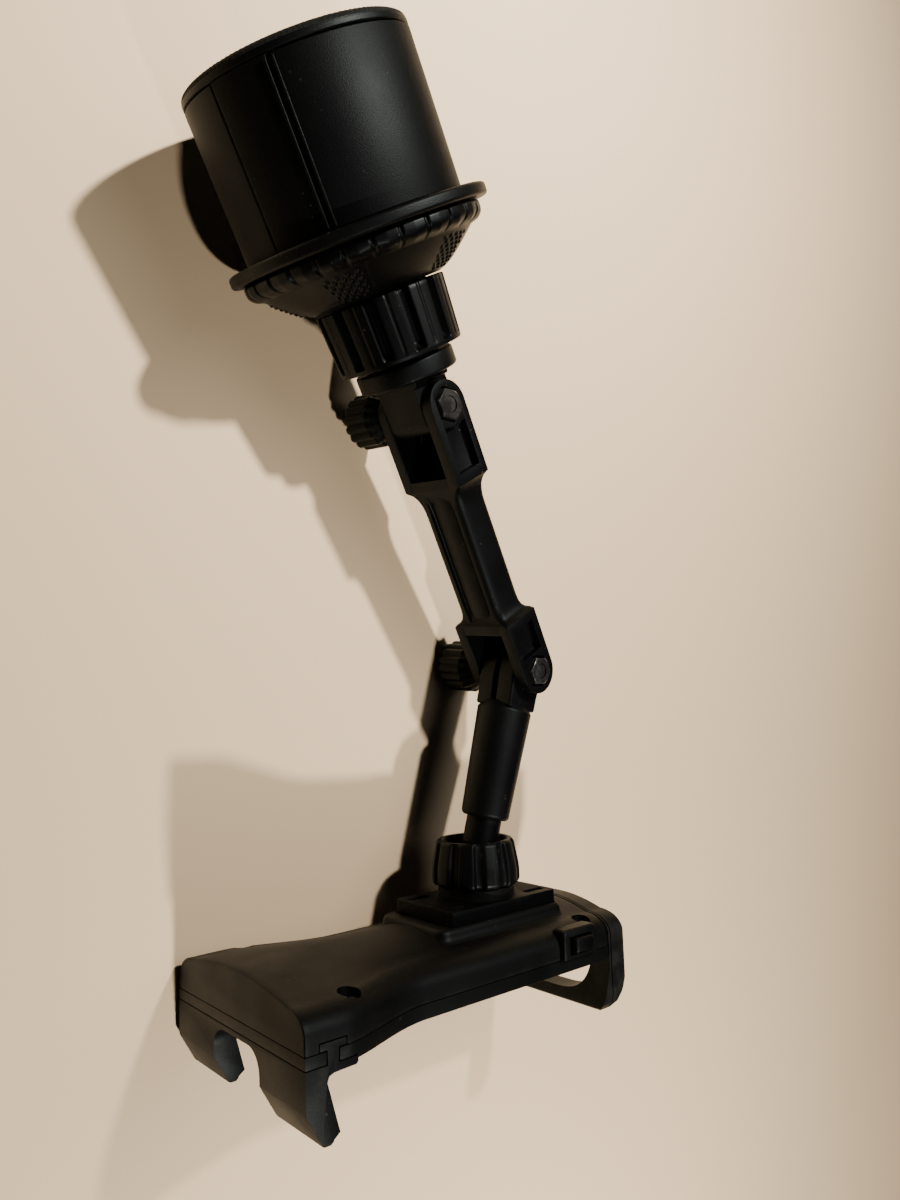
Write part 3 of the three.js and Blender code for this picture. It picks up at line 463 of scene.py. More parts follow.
def pegAt(angle):
    a = radians(angle)
    x, y = pegOut - pivotPlace[0], -pivotPlace[1]
    return (pivotPlace[0] + x * cos(a) - y * sin(a), pivotPlace[1] + x * sin(a) + y * cos(a))

def slotShape(half, low, high, turn):
    # follows the peg's path as the wing swings
    path = [pegAt(-0.6 + 1.6 * i) for i in range(13)]
    left, right = [], []
    for i, p in enumerate(path):
        a, b = path[max(i - 1, 0)], path[min(i + 1, len(path) - 1)]
        t = atan2(b[1] - a[1], b[0] - a[0])
        left.append((p[0] - sin(t) * half, p[1] + cos(t) * half))
        right.append((p[0] + sin(t) * half, p[1] - cos(t) * half))
    return turnedBy(prism(right + left[::-1], low, high), turn)

flangeProfile = softenProfile([(2.9, 49), (41.4, 49, 0.5), (42, 49.7, 0.5), (42, 52.1, 0.5),
                               (41.3, 52.7, 0.3), (2.9, 52.7)])
flange = meshOf("topFlange", turned(flangeProfile, 192))
cutBy(flange, "DIFFERENCE", *[slotShape(plug["slotHalf"], 48, 54, k * 120) for k in range(3)])
finishPiece(flange, plugFrame, "plug", satin, ["top_flange"])
print("plug made")


# dial

dial = {"rimFrom": 36.5, "notches": 28, "notchPhase": 7.3, "notchWidth": 0.1, "notchDepth": 0.7,
        "facet": 0.14, "wave": 0.35, "knurlPatches": 5, "knurlPhase": 59.0, "knurlSpan": 12.0,
        "knurlHeight": 0.55, "knurlCells": 63, "knurlRows": 10}

dialProfile = softenProfile([(35.6, 53.1), (38.3, 53.1, 0.4), (38.9, 53.7, 0.5), (38.9, 56.1, 1.2),
                             (37.4, 57.7, 0.8), (34.6, 58.9, 0.7)], 5)
bowlRuns = [(34.2, 59.2), (33.2, 60.1), (31.6, 61.5), (29.8, 63.0), (27.9, 64.5), (25.9, 66.0), (23.7, 67.3),
            (21.4, 68.2)]

def smoothRun(points, every):
    out = []
    for (r0, z0), (r1, z1) in zip(points, points[1:]):
        steps = max(1, int(hypot(r1 - r0, z1 - z0) / every))
        out += [(r0 + (r1 - r0) * i / steps, z0 + (z1 - z0) * i / steps) for i in range(steps)]
    return out + [points[-1]]

bowlStart = len(dialProfile)
bowlPoints = smoothRun(bowlRuns, 0.34)
bowlStop = bowlStart + len(bowlPoints)
dialProfile += bowlPoints
dialProfile += [(20.6, 68.4), (16.8, 68.4), (16.8, 66.6), (22.6, 65), (32.4, 57.6), (35.6, 56)]

def dialSwell(a, k, r, z):
    # notches and shallow facets round the rim, and diamond knurling in patches on the bowl
    if r > dial["rimFrom"]:
        t = ((degrees(a) - dial["notchPhase"]) / (360 / dial["notches"])) % 1
        notch = max(0, 1 - abs(t - 0.5) / dial["notchWidth"])
        facet = dial["facet"] * (1 - (2 * t - 1) ** 2)
        wave = dial["wave"] * (1 - min(1, abs(2 * ((t + 0.5) % 1) - 1) * 1.2))
        return r - dial["notchDepth"] * min(1, notch * 1.6) - facet, z + (wave if z > 55.5 else 0)
    if bowlStart <= k < bowlStop:
        patch = 360 / dial["knurlPatches"]
        t = (degrees(a) - dial["knurlPhase"]) % patch
        side = max(0.0, min(1.0, (dial["knurlSpan"] - min(t, patch - t)) / 1.2))
        run = (k - bowlStart) / (bowlStop - bowlStart)
        ends = max(0.0, min(1.0, min(run - 0.04, 0.9 - run) * 14))
        cell = max(0.0, sin(a * dial["knurlCells"]) * cos(run * pi * dial["knurlRows"]))
        lift = dial["knurlHeight"] * side * ends * cell * 0.75
        return r + lift, z + lift
    return r, z

dialRing = meshOf("dialRing", turned(dialProfile, 900, dialSwell))
finishPiece(dialRing, plugFrame, "dial", gloss, ["dial_ring"], sharp=50)
print("dial made")


# collar nut

collar = {"grooves": 12, "phase": 25.0, "grooveWidth": 9.0, "depth": 2.5, "low": 68.9, "high": 89.0,
          "inner": 17, "radius": 21.4, "taper": 0.9, "grooveEnd": 87.5, "ribWidth": 1.8, "ribDepth": 0.3}

def collarSwell(a, k, r, z):
    if r < collar["inner"]:
        return r, z
    period = 360 / collar["grooves"]
    t = (degrees(a) - collar["phase"] + period / 2) % period - period / 2
    half = collar["grooveWidth"] / 2
    end = max(0.0, min(1.0, (collar["grooveEnd"] - z) / 2.2)) ** 0.5
    groove = 0.5 + 0.5 * tanh((half - abs(t)) * 1.5)
    line = max(0.0, 1 - abs(abs(t) - period / 2) / collar["ribWidth"])
    return r - collar["depth"] * groove * end - collar["ribDepth"] * min(1, line * 2) * end, z

collarHeights = [69.4 + i for i in range(15)] + [84.2 + 0.35 * i for i in range(11)] + [88.2]
collarTaper = collar["taper"] / (collar["high"] - collar["low"])
collarSide = [(collar["radius"] - collarTaper * (z - collar["low"]), z) for z in collarHeights]
collarProfile = ([(16.4, 68.9), (20.8, 68.9), (21.2, 69.05)] + collarSide
                 + softenProfile([(20.5, 88.3), (20.45, 89.0, 0.6), (12.6, 89.0)], 4)
                 + [(12.6, 86.7), (14.6, 86.7), (14.6, 84.5), (16.4, 84.2)])
collarNut = meshOf("collarNut", turned(collarProfile, 480, collarSwell))
finishPiece(collarNut, plugFrame, "collar", gloss, ["collar_nut"], sharp=42)


# arm base: swivel ring with a tongue

base = {"hinge": shoulder.z / mm, "depth": 8.1, "corner": 4.6, "foot": 95.5, "bolt": 3.0}

boltHole = turned([(0, -20), (base["bolt"], -20), (base["bolt"], 20), (0, 20)], 32)
ringProfile = softenProfile([(0, 70.5), (8.2, 70.5), (8.2, 84.3), (14, 84.3), (14, 86.3), (12.2, 86.3),
                             (12.2, 90.3), (16.1, 90.3, 0.4), (16.5, 90.8, 0.4), (16.5, 95.9, 0.6),
                             (15.9, 96.5, 0.4), (0, 96.5)])
swivelRing = meshOf("swivelRing", turned(ringProfile, 144))
finishPiece(swivelRing, plugFrame, "swivel", satin, ["arm_base"])
h, depth, foot = base["hinge"], base["depth"], base["foot"]
tongueSide = ([(-depth, foot), (depth, foot), (depth, h + 2.4)]
              + arcPoints(3.5, h + 2.9, base["corner"], 0, 90, 10)
              + arcPoints(-3.5, h + 2.9, base["corner"], 90, 180, 10))
tongueFront = [(-10.4, foot), (10.4, foot), (9.6, 98.4), (8.2, 98.9), (8.2, 120), (-8.2, 120), (-8.2, 98.9),
               (-9.6, 98.4)]
tongue = meshOf("swivelTongue", prism(tongueSide, -12, 12, "x"))
cutBy(tongue, "INTERSECT", prism(tongueFront, -12, 12, "y"))
cutBy(tongue, "DIFFERENCE", turnedBy(alongX(boltHole), 0, (0, 0, h)))
softenEdges(tongue, 0.45)
finishPiece(tongue, plugFrame, "swivel", satin)
print("neck made")


# long arm

arm = {"earIn": 8.6, "earOut": 12.7, "earRadius": 8.1, "farBlock": armLength - 22, "pocketFrom": 9.8,
       "pocketHalf": 5.2, "hexFrom": 9.7, "hexRadius": 6.2, "wallHalf": 8.7, "wallLow": -8.05,
       "wallHigh": -6.5}

far = arm["farBlock"]
# each row is (z, half width, half depth, corner radius)
barrelRows = [(22.1, 12.62, 8.02, 0.6), (25.1, 12.62, 8.02, 0.6), (25.6, 12.6, 8.0, 0.8),
              (26.1, 12.1, 7.8, 1.0), (26.8, 11.4, 7.5, 1.6), (27.8, 10.8, 7.2, 2.0),
              (29.2, 10.2, 7.0, 2.4), (31, 9.8, 6.85, 2.7), (33.5, 9.55, 6.72, 3.0), (36, 9.5, 6.7, 3.0),
              (far - 6, 9.5, 6.7, 3.0), (far - 3.6, 9.6, 6.75, 2.8), (far - 1.8, 10.0, 6.9, 2.4),
              (far - 0.7, 10.8, 7.3, 1.8), (far - 0.1, 12.0, 7.9, 1.0), (far + 0.5, 12.62, 8.02, 0.6),
              (far + 3.7, 12.62, 8.02, 0.6)]
barrel = meshOf("armBarrel", ringSkin(rectRings(0, 0, [(hx, hy, r, z) for z, hx, hy, r in barrelRows], 8)))

def channelTool(side):
    # each row is (z, half width, depth of the tool's middle)
    rows = [(28, 5.0, 8.8), (31, 5.5, 7.6), (35, 5.8, 6.95), (far - 6, 5.8, 6.95), (far - 3, 5.5, 7.8),
            (far - 1, 5.0, 8.9)]
    return ringSkin([[(x, side * y0 + y, z) for x, y in roundedRect(0, 0, hx, 2.0, 0.9, 5)]
                     for z, hx, y0 in rows])

cutBy(barrel, "DIFFERENCE", channelTool(1), channelTool(-1))
# a slightly crowned spine fills the middle of both channels
spineAcross = [-5.6 + 0.4 * i for i in range(29)]
spineOutline = ([(x, 0.045 * x * x - 6.5) for x in spineAcross]
                + [(x, 6.5 - 0.045 * x * x) for x in spineAcross[::-1]])
spine = meshOf("armSpine", prism(spineOutline, 29, far - 2.4))
finishPiece(spine, armFrame, "upper_arm", satin, sharp=50)
finishPiece(barrel, armFrame, "upper_arm", satin, ["long_arm"], sharp=30)

def earOutline(centre, away, length):
    start, radius = 180 if away > 0 else 0, arm["earRadius"]
    return (arcPoints(0, centre, radius, start, start + 180, 28)
            + [(away * radius, centre + length), (-away * radius, centre + length)])

hexPoints = [(arm["hexRadius"] * cos(radians(60 * i + 30)), arm["hexRadius"] * sin(radians(60 * i + 30)))
             for i in range(6)]
hexTool = prism(hexPoints, arm["hexFrom"], 20, "x")
wide = arm["pocketHalf"]
nearPocket = prism([(-wide, 22), (wide, 22), (wide, 6.6), (3.4, 6.6), (2.4, 7.3), (-2.4, 7.3), (-3.4, 6.6),
                    (-wide, 6.6)], arm["pocketFrom"], 20, "x")
farPocket = prism([(-wide, armLength - 6.8), (wide, armLength - 6.8), (wide, armLength - 18.2),
                   (-wide, armLength - 18.2)], arm["pocketFrom"], 20, "x")
earSides = (("Left", -arm["earOut"], -arm["earIn"]), ("Right", arm["earIn"], arm["earOut"]))
for label, centre, away, length, pocket in (("near", 0, 1, 25.6, nearPocket),
                                            ("far", armLength, -1, -21.6, farPocket)):
    for side, low, high in earSides:
        ear = meshOf(label + "Ear" + side, prism(earOutline(centre, away, length), low, high, "x"))
        cuts = [turnedBy(alongX(boltHole), 0, (0, 0, centre))]
        if side == "Right":
            cuts += [turnedBy(hexTool, 0, (0, 0, centre)), pocket]
        cutBy(ear, "DIFFERENCE", *cuts)
        softenEdges(ear, 0.38)
        finishPiece(ear, armFrame, "upper_arm", satin)
half, back, face = arm["wallHalf"], arm["wallLow"], arm["wallHigh"]
for label, low, high in (("near", 7.4, 22.4), ("far", armLength - 21.9, armLength - 6.6)):
    shapes = [block(-half, half, back, face, low, high), block(-0.5, 0.5, -6.6, -5.7, low + 0.4, high - 0.4)]
    if label == "far":
        shapes.append(block(-half, half, back, -7.75, high - 0.1, high + 2.2))
    wall = meshOf(label + "ForkWall", *shapes)
    finishPiece(wall, armFrame, "upper_arm", satin)
print("long arm made")


# clamp knobs, one on each hinge

knob = {"radius": 9.6, "start": 13.1, "fluteFrom": 3.4, "flutes": 16, "fluteDepth": 0.85}

def knobSwell(a, k, r, z):
    along = z - knob["start"] - knob["fluteFrom"]
    if r < 7.5 or along < 0:
        return r, z
    wave = 0.5 + 0.5 * cos(knob["flutes"] * a)
    return r - knob["fluteDepth"] * (1 - wave ** 0.55) * min(1, along / 1.4), z

knobCone = [(5.2, 13.1), (6.0, 13.3, 0.3), (8.9, 17.5, 0.6), (9.6, 18.6, 0.5), (9.6, 19)]
knobEnd = [(9.6, 27.8), (9.5, 28.9, 0.6), (8.6, 29.5, 0.5), (7.2, 29.6), (6.4, 29.2, 0.3), (0, 29.2)]
knobProfile = ([(2.75, knob["start"])] + softenProfile(knobCone, 4)[1:]
               + [(knob["radius"], z) for z in (18.9, 20, 22, 24, 26, 27.6)]
               + softenProfile(knobEnd, 3) + [(0, 26), (2.75, 26)])
for name, where, height in (("shoulder", armFrame, 0), ("elbow", armFrame, armLength)):
    shape = alongX(turned(knobProfile, 256, knobSwell), -1)
    made = meshOf(name + "Knob", turnedBy(shape, 0, (0, 0, height)))
    finishPiece(made, where, name + "_clamp", satin, [name + "_knob"], sharp=44)
print("knobs made")


# short arm and ball rod

fore = {"leafRadius": 7.9, "leafOut": 8.2, "leafIn": 0.7, "rodRadius": 6.2, "neckRadius": 4.92, "ball": 8.0}

tubeProfile = softenProfile([(0, 12.6), (7.6, 12.6, 0.3), (9.8, 15.3, 0.5), (8.5, 53.0, 1.2),
                             (7.5, 54.0, 0.5), (6.4, 54.0), (6.4, 34), (0, 34)])
tube = meshOf("foreTube", turned(tubeProfile, 128))
finishPiece(tube, foreFrame, "fore_arm", satin, ["short_arm"])
leafOutline = (arcPoints(0, 0, fore["leafRadius"], 180, 360, 32)
               + [(7.9, 4), (7.3, 9), (7.1, 14.4), (-7.1, 14.4), (-7.3, 9), (-7.9, 4)])
for side, low, high in (("Left", -fore["leafOut"], -fore["leafIn"]),
                        ("Right", fore["leafIn"], fore["leafOut"])):
    leaf = meshOf("foreLeaf" + side, prism(leafOutline, low, high, "x"))
    cutBy(leaf, "DIFFERENCE", alongX(boltHole))
    softenEdges(leaf, 0.9, 4)
    finishPiece(leaf, foreFrame, "fore_arm", satin)
ball, rod = fore["ball"], fore["rodRadius"]
ballArc = [(ball * cos(radians(a)), ballReach + ball * sin(radians(a))) for a in range(-52, 90, 6)]
rodNeck = softenProfile([(rod, 60), (rod, 63.6, 1.2), (fore["neckRadius"], ballReach - 6.3, 0.5)], 4)
rodProfile = [(0, 34.3), (rod, 34.3)] + rodNeck + ballArc + [(0, ballReach + ball)]
ballRod = meshOf("ballRod", turned(rodProfile, 96))
finishPiece(ballRod, foreFrame, "fore_arm", satin, ["ball_rod"])
print("short arm made")


# ring nut and mounting plate

ringNut = {"inner": 12.8, "lobes": 10, "grooveShare": 0.5, "sharpness": 3.4, "lobeDepth": 1.5}

def nutSwell(a, k, r, z):
    if r < ringNut["inner"]:
        return r, z
    lobe = tanh(ringNut["sharpness"] * (cos(ringNut["lobes"] * a) + ringNut["grooveShare"]))
    fade = max(0.0, min(1.0, (19.3 - z) / 2.0)) ** 0.6
    return r - ringNut["lobeDepth"] * 0.5 * (1 - lobe) * fade, z

nutProfile = [(12.6, 4.0)] + softenProfile([(13.6, 4.0), (14.6, 4.1, 0.4), (15.3, 5.2, 0.6), (15.3, 9.6, 2.0),
                                            (13.7, 18.2, 0.9), (12.9, 19.1, 0.4), (11.4, 19.1, 0.2),
                                            (10, 14.0), (10, 12.9), (12.6, 12.4)], 5)
ringBody = meshOf("lockRing", turned(nutProfile, 384, nutSwell))
finishPiece(ringBody, cradleFrame, "lock_nut", gloss, ["ring_nut"], sharp=40)

plate = {"half": (23.9, 15.2), "thick": 5.5, "slotsX": (-17.6, 17.4), "slotsY": (-10.4, 10.4),
         "slotHalf": (4.4, 1.5)}
plateBody = meshOf("mountPlate", prism(roundedRect(-0.1, 0, *plate["half"], 1.4, 6), -plate["thick"], 0))
cutBy(plateBody, "DIFFERENCE",
      *[prism(roundedRect(x, y, *plate["slotHalf"], 0.6, 4), -8, 2)
        for x in plate["slotsX"] for y in plate["slotsY"]],
      turned([(0, -1.3), (12.2, -1.3), (12.2, 3), (0, 3)], 48))
softenEdges(plateBody, 0.4)
finishPiece(plateBody, cradleFrame, "cradle", matte, ["mount_plate"])
# the hub's cup follows the ball, with its liner between them
cupRadius, cupCentre = 10.85, 9.6
cupArc = [(cupRadius * sin(radians(t)), cupCentre - cupRadius * cos(radians(t))) for t in range(8, 100, 6)]
hubRim = [(10.7, 11.4), (12.2, 11.4, 0.3), (12.2, 3.8), (13.3, 3.6, 0.3), (13.3, -0.6), (0, -1.6)]
hubProfile = [(0, -1.25)] + cupArc + softenProfile(hubRim, 3)[1:]
hub = meshOf("plateHub", turned(hubProfile, 96))
finishPiece(hub, cradleFrame, "cradle", matte)
print("ring nut made")


# cradle shell

shell = {"left": -92.0, "right": 34.4, "wide": 38.2, "waist": 29.2, "wideTo": -79.0, "waistFrom": -46.0,
         "crest": -5.4, "seam": -18.9, "seamToShoulder": 13.5, "keyX": -83.6, "keyStem": 1.7,
         "keyHead": 4.0, "keyGap": 0.3, "keyFrom": 33.6,
         "screws": ((-73.5, -30.5), (-73.5, 30.5), (27.2, -23.5), (27.2, 23.5))}
release = {"x": 18.4, "shift": 0.55, "z": -14.7}

def halfWidth(x):
    if x < shell["wideTo"]:
        return shell["wide"]
    if x > shell["waistFrom"]:
        return shell["waist"]
    t = (x - shell["wideTo"]) / (shell["waistFrom"] - shell["wideTo"])
    return shell["wide"] + (shell["waist"] - shell["wide"]) * (t * t * (3 - 2 * t)) ** 0.8

def shellRing(x, inset=0.0):
    # half a section from the seam up over the shoulder and the crest, then its mirror image
    half = halfWidth(x) - inset
    t = min(max((x - shell["wideTo"]) / 40, 0), 1)
    t = t * t * (3 - 2 * t)
    side = -14.8 - 0.4 * t - inset
    top = shell["crest"] - inset
    corner = 8 + 1.7 * t
    fall = 3.3 + 0.2 * t
    low = shell["seam"]
    points = [(x, -half, low), (x, -half, low + 0.35 * (side - low)), (x, -half, side)]
    for i in range(1, 11):
        a = radians(9 * i)
        points.append((x, -half + corner * (1 - cos(a)), side + (top - fall - side) * sin(a)))
    mirrored = [(px, -py, pz) for px, py, pz in points]
    for i in range(1, 20):
        k = -1 + i / 10
        points.append((x, k * (half - corner), top - fall * k * k))
    return points + mirrored[::-1]

def endRing(x, inset):
    # a ring that shrinks a little, which rounds the end
    return [(px, py * (1 - inset / 40), pz - inset * max(0, (pz - shell["seam"]) / shell["seamToShoulder"]))
            for px, py, pz in shellRing(x)]

def keyBlock(half, y0, y1, low, high):
    return block(shell["keyX"] - half, shell["keyX"] + half, y0, y1, low, high)

stations = [-90, -86, -82] + [-79 + 1.65 * i for i in range(25)] + [-36, -28, -16, 0, 16, 28, 33.2]
rings = [endRing(x, inset) for x, inset in ((shell["left"], 0.7), (-91.9, 0.35), (-91.7, 0.12), (-91.2, 0))]
rings += [shellRing(x) for x in stations]
rings += [endRing(34.0, 0.1), endRing(shell["right"], 0.5)]
backShell = meshOf("backShell", ringSkin(rings))
screwWell = turned([(0, -13), (3.3, -13), (3.3, 2), (0, 2)], 40)
cutBy(backShell, "DIFFERENCE",
      *[turnedBy(screwWell, 0, (x, y, 0)) for x, y in shell["screws"]],
      prism(roundedRect(-0.1, 0, 24.3, 15.6, 1.4, 4), -7.4, 0),
      block(20, 60, -19.4, -10.6, -18, -13), block(20, 60, 10.6, 19.4, -18, -13))
headHalf = shell["keyHead"] + shell["keyGap"]
cutBy(backShell, "DIFFERENCE", keyBlock(headHalf, -60, -shell["keyFrom"], -19.5, -16.6))
cutBy(backShell, "DIFFERENCE", keyBlock(headHalf, shell["keyFrom"], 60, -19.5, -16.6))
cutBy(backShell, "DIFFERENCE", block(release["x"] - 5.6, release["x"] + 5.6, -40, -24.8, -17.9, -11.6))
finishPiece(backShell, cradleFrame, "cradle", shellSatin, ["back_shell"], sharp=34)

bossRows = [(33.5, 22.5, 8, -10.6), (31.2, 20.0, 6.6, -9.6), (29.9, 18.6, 5.6, -8.7), (28.9, 17.7, 4.9, -7.9),
            (28.4, 17.2, 4.5, -7.2), (28.2, 17.0, 4.3, -6.2), (28.0, 16.8, 4.1, -5.4),
            (27.7, 16.5, 3.9, -4.9), (27.2, 16.1, 3.5, -4.5), (26.6, 15.9, 3.0, -4.4)]
bossBody = meshOf("plateBoss", ringSkin(rectRings(-2.0, 0, bossRows, 10)))
cutBy(bossBody, "DIFFERENCE", prism(roundedRect(-0.1, 0, 24.3, 15.6, 1.4, 5), -5.8, 0))
finishPiece(bossBody, cradleFrame, "cradle", shellSatin, sharp=30)

housingRows = [(8.2, 3.3, 0.8, -18.7), (8.2, 3.3, 0.8, -12.4), (8.0, 3.1, 0.9, -10.9), (7.6, 2.8, 1.0, -9.9),
               (6.9, 2.2, 1.2, -9.4)]
housing = meshOf("buttonHousing", ringSkin(rectRings(release["x"], -28.2, housingRows, 6)))
cutBy(housing, "DIFFERENCE", block(release["x"] - 5.4, release["x"] + 5.4, -40, -20, -17.6, -11.8))
softenEdges(housing, 0.3)
finishPiece(housing, cradleFrame, "cradle", shellSatin)
buttonX = release["x"] + release["shift"]
buttonRings = [[(buttonX + x, y, release["z"] + z) for x, z in roundedRect(0, 0, hx, hz, 0.8, 5)]
               for hx, hz, y in ((4.3, 2.4, -27.0), (4.3, 2.4, -31.9), (4.1, 2.2, -32.6), (3.7, 1.8, -32.95))]
button = meshOf("releaseButton", ringSkin(buttonRings))
finishPiece(button, cradleFrame, "button", satin, ["release_button"])
headProfile = softenProfile([(0, -19.8), (1.35, -19.8), (1.35, -12.7), (2.9, -12.7, 0.1), (2.9, -11.6, 0.5),
                             (2.2, -10.7, 0.4), (0, -10.5)], 4)
for i, (x, y) in enumerate(shell["screws"]):
    screw = meshOf("shellScrew%d" % (i + 1), turnedBy(turned(headProfile, 32), 0, (x, y, 0)))
    cutBy(screw, "DIFFERENCE", *[block(x - hx, x + hx, y - hy, y + hy, -11.6, -9)
                                 for hx, hy in ((1.6, 0.28), (0.28, 1.6))])
    finishPiece(screw, cradleFrame, "cradle", darkSteel, ["shell_screw_%d" % (i + 1)])
print("shell made")


# front plate and jaws

front = {"top": -19.2, "face": -23.4}
edge = [(x, -halfWidth(x)) for x in [-92] + [-79 + 1.65 * i for i in range(21)] + [shell["right"]]]
outline = edge + [(x, -y) for x, y in edge[::-1]]
frontPlate = meshOf("frontPlate", prism(outline, front["face"], front["top"]))
stemHalf = shell["keyStem"] + shell["keyGap"]
cutBy(frontPlate, "DIFFERENCE", block(-100, -75.6, -60, 60, -30, -22.3),
      keyBlock(stemHalf, -60, -shell["keyFrom"], -30, -10),
      keyBlock(stemHalf, shell["keyFrom"], 60, -30, -10))
softenEdges(frontPlate, 0.3)
finishPiece(frontPlate, cradleFrame, "cradle", shellSatin, ["front_plate"])

hook = {"half": 38.2, "keyFrom": 34.0}
hookSide = [(-92, -22.6), (-92, -33), (-90.9, -35), (-87, -41.9), (-86.2, -42.3), (-84.4, -42.3),
            (-83.8, -41), (-81.9, -39.6), (-82.3, -38.4), (-85.5, -26.8), (-85, -25.4), (-83.4, -24.8),
            (-76.6, -24.6), (-76, -24), (-76, -22.6)]
hookCorner = [(-38.2, -22), (-38.2, -41.4), (-37.0, -43.3), (-15.2, -43.3), (-14.2, -41.4)]
hookFront = (hookCorner + arcPoints(-7.4, -30.6, 6.6, 180, 90, 10) + arcPoints(7.4, -30.6, 6.6, 90, 0, 10)
             + [(-y, z) for y, z in hookCorner[::-1]])
fixedJaw = meshOf("fixedJaw", prism(hookSide, -hook["half"], hook["half"], "y"))
cutBy(fixedJaw, "INTERSECT", prism(hookFront, -100, -70, "x"))
for y0, y1 in ((-hook["half"], -hook["keyFrom"]), (hook["keyFrom"], hook["half"])):
    cutBy(fixedJaw, "UNION", keyBlock(shell["keyStem"], y0, y1, -23, -18),
          keyBlock(shell["keyHead"], y0, y1, -18.8, -17))
softenEdges(fixedJaw, 0.4)
finishPiece(fixedJaw, cradleFrame, "cradle", shellSatin, ["fixed_jaw"])

slide = {"windowHalf": 20.2, "windowTop": -24.7, "windowDrop": 12.0, "rimMiddle": -24.0, "grooveFrom": 35.6,
         "grooveTo": 36.1, "grooveDepth": 0.5}
slideSide = [(34.8, -4), (41.4, -4), (42.4, -10), (42.6, -14), (42.6, -31), (41.6, -34), (38.8, -38.4),
             (36.4, -40.8), (33.4, -41.5), (31.2, -40.2), (31.4, -38.8), (34.8, -27)]
dome = [(y, z) for _, y, z in shellRing(0, 0.1)]
slideCorner = [(29.1, -36), (28.4, -38.6), (26.6, -40.6), (24, -42)]
slideFront = dome[1:-1] + slideCorner + [(-y, z) for y, z in slideCorner[::-1]]
movingJaw = meshOf("movingJaw", prism(slideSide, -60, 60, "y"))
cutBy(movingJaw, "INTERSECT", prism(slideFront, 20, 60, "x"))

def arch(a):
    c, d = cos(radians(a)), sin(radians(a))
    across = slide["windowHalf"] * abs(c) ** 0.5 * (1 if c > 0 else -1)
    return across, slide["windowTop"] - slide["windowDrop"] * abs(d) ** 0.85

def rim(x, grow):
    # the jaw's outline, moved out or in for the groove's cutting ring
    middle = slide["rimMiddle"]
    return [(x, y * (1 + grow / 29), middle + (z - middle) * (1 + grow / 18)) for y, z in slideFront]

grooveFrom, grooveTo, grooveIn = slide["grooveFrom"], slide["grooveTo"], -slide["grooveDepth"]
cutBy(movingJaw, "DIFFERENCE", prism([arch(a) for a in range(0, 181, 6)], 20, 60, "x"),
      block(30, 38.6, -19.4, 19.4, -18.1, -12.9),
      ringSkin([rim(grooveFrom, 2), rim(grooveTo, 2), rim(grooveTo, grooveIn), rim(grooveFrom, grooveIn)],
               wrapRings=True))
softenEdges(movingJaw, 0.55)
finishPiece(movingJaw, cradleFrame, "sliding_jaw", shellSatin, ["moving_jaw"])
print("jaws made")


# finishes for the frame's own pieces that stay

kept = {"neck_post": matte, "neck_screw": brightSteel, "cam_plate": acetal, "cam_retainer": darkSteel,
        "wing_pin_1": brightSteel, "wing_pin_2": brightSteel, "wing_pin_3": brightSteel,
        "shoulder_nut": darkSteel, "shoulder_stud": darkSteel, "elbow_nut": darkSteel,
        "elbow_stud": darkSteel, "ball_liner": acetal, "ball_seat": matte, "jaw_rack": acetal,
        "latch_pawl": darkSteel}
for name, finish in kept.items():
    mesh = frame["nodes"][name].data
    mesh.materials.clear()
    mesh.materials.append(finish)


# stage, light and camera

view = {"place": (0.215067, 0.210677, 0.065237), "right": (0.712418, -0.614478, 0.338934),
        "look": (-0.701737, -0.627236, 0.337845), "lens": 26.924}
right, look = Vector(view["right"]).normalized(), Vector(view["look"]).normalized()
up = right.cross(look).normalized()
cameraData = bpy.data.cameras.new("camera")
cameraData.lens, cameraData.sensor_width, cameraData.sensor_fit = view["lens"], 36, "AUTO"
cameraData.clip_start = 0.01
camera = bpy.data.objects.new("camera", cameraData)
camera.matrix_world = Matrix.Translation(view["place"]) @ Matrix((right, up, -look)).transposed().to_4x4()
scene.collection.objects.link(camera)
scene.camera = camera

def basisAt(place, normal, hint):
    n = Vector(normal).normalized()
    x = Vector(hint).cross(n).normalized()
    m = Matrix((x, n.cross(x), n)).transposed().to_4x4()
    m.translation = Vector(place)
    return m

floorMat = bpy.data.materials.new("paleFloor")
floorMat.use_nodes = True
tree = floorMat.node_tree
paint = tree.nodes["Principled BSDF"]
paint.inputs["Base Color"].default_value = (0.82, 0.64, 0.43, 1)
paint.inputs["Roughness"].default_value = 0.75
seeThrough = tree.nodes.new("ShaderNodeBsdfTransparent")
mixer = tree.nodes.new("ShaderNodeMixShader")
back = tree.nodes.new("ShaderNodeNewGeometry").outputs["Backfacing"]
tree.links.new(back, mixer.inputs[0])
tree.links.new(paint.outputs[0], mixer.inputs[1])
tree.links.new(seeThrough.outputs[0], mixer.inputs[2])
tree.links.new(mixer.outputs[0], tree.nodes["Material Output"].inputs["Surface"])

# the mount lies on the flange's edge, the elbow knob and the far corner of the shell
stage = {"normal": (0.989468, 0.12228, -0.077462), "half": 2.4, "gap": 0.0004}
floorMesh = bpy.data.meshes.new("floor")
s = stage["half"]
floorMesh.from_pydata([(-s, -s, 0), (s, -s, 0), (s, s, 0), (-s, s, 0)], [], [(0, 1, 2, 3)])
floor = bpy.data.objects.new("floor", floorMesh)
away = Vector(stage["normal"]).normalized()
corners = [v.co for o in frame["nodes"].values() for v in o.data.vertices]
rest = min(c.dot(away) for c in corners) - stage["gap"]
floor.matrix_world = basisAt(away * rest, away, up)
floorMesh.materials.append(floorMat)
scene.collection.objects.link(floor)

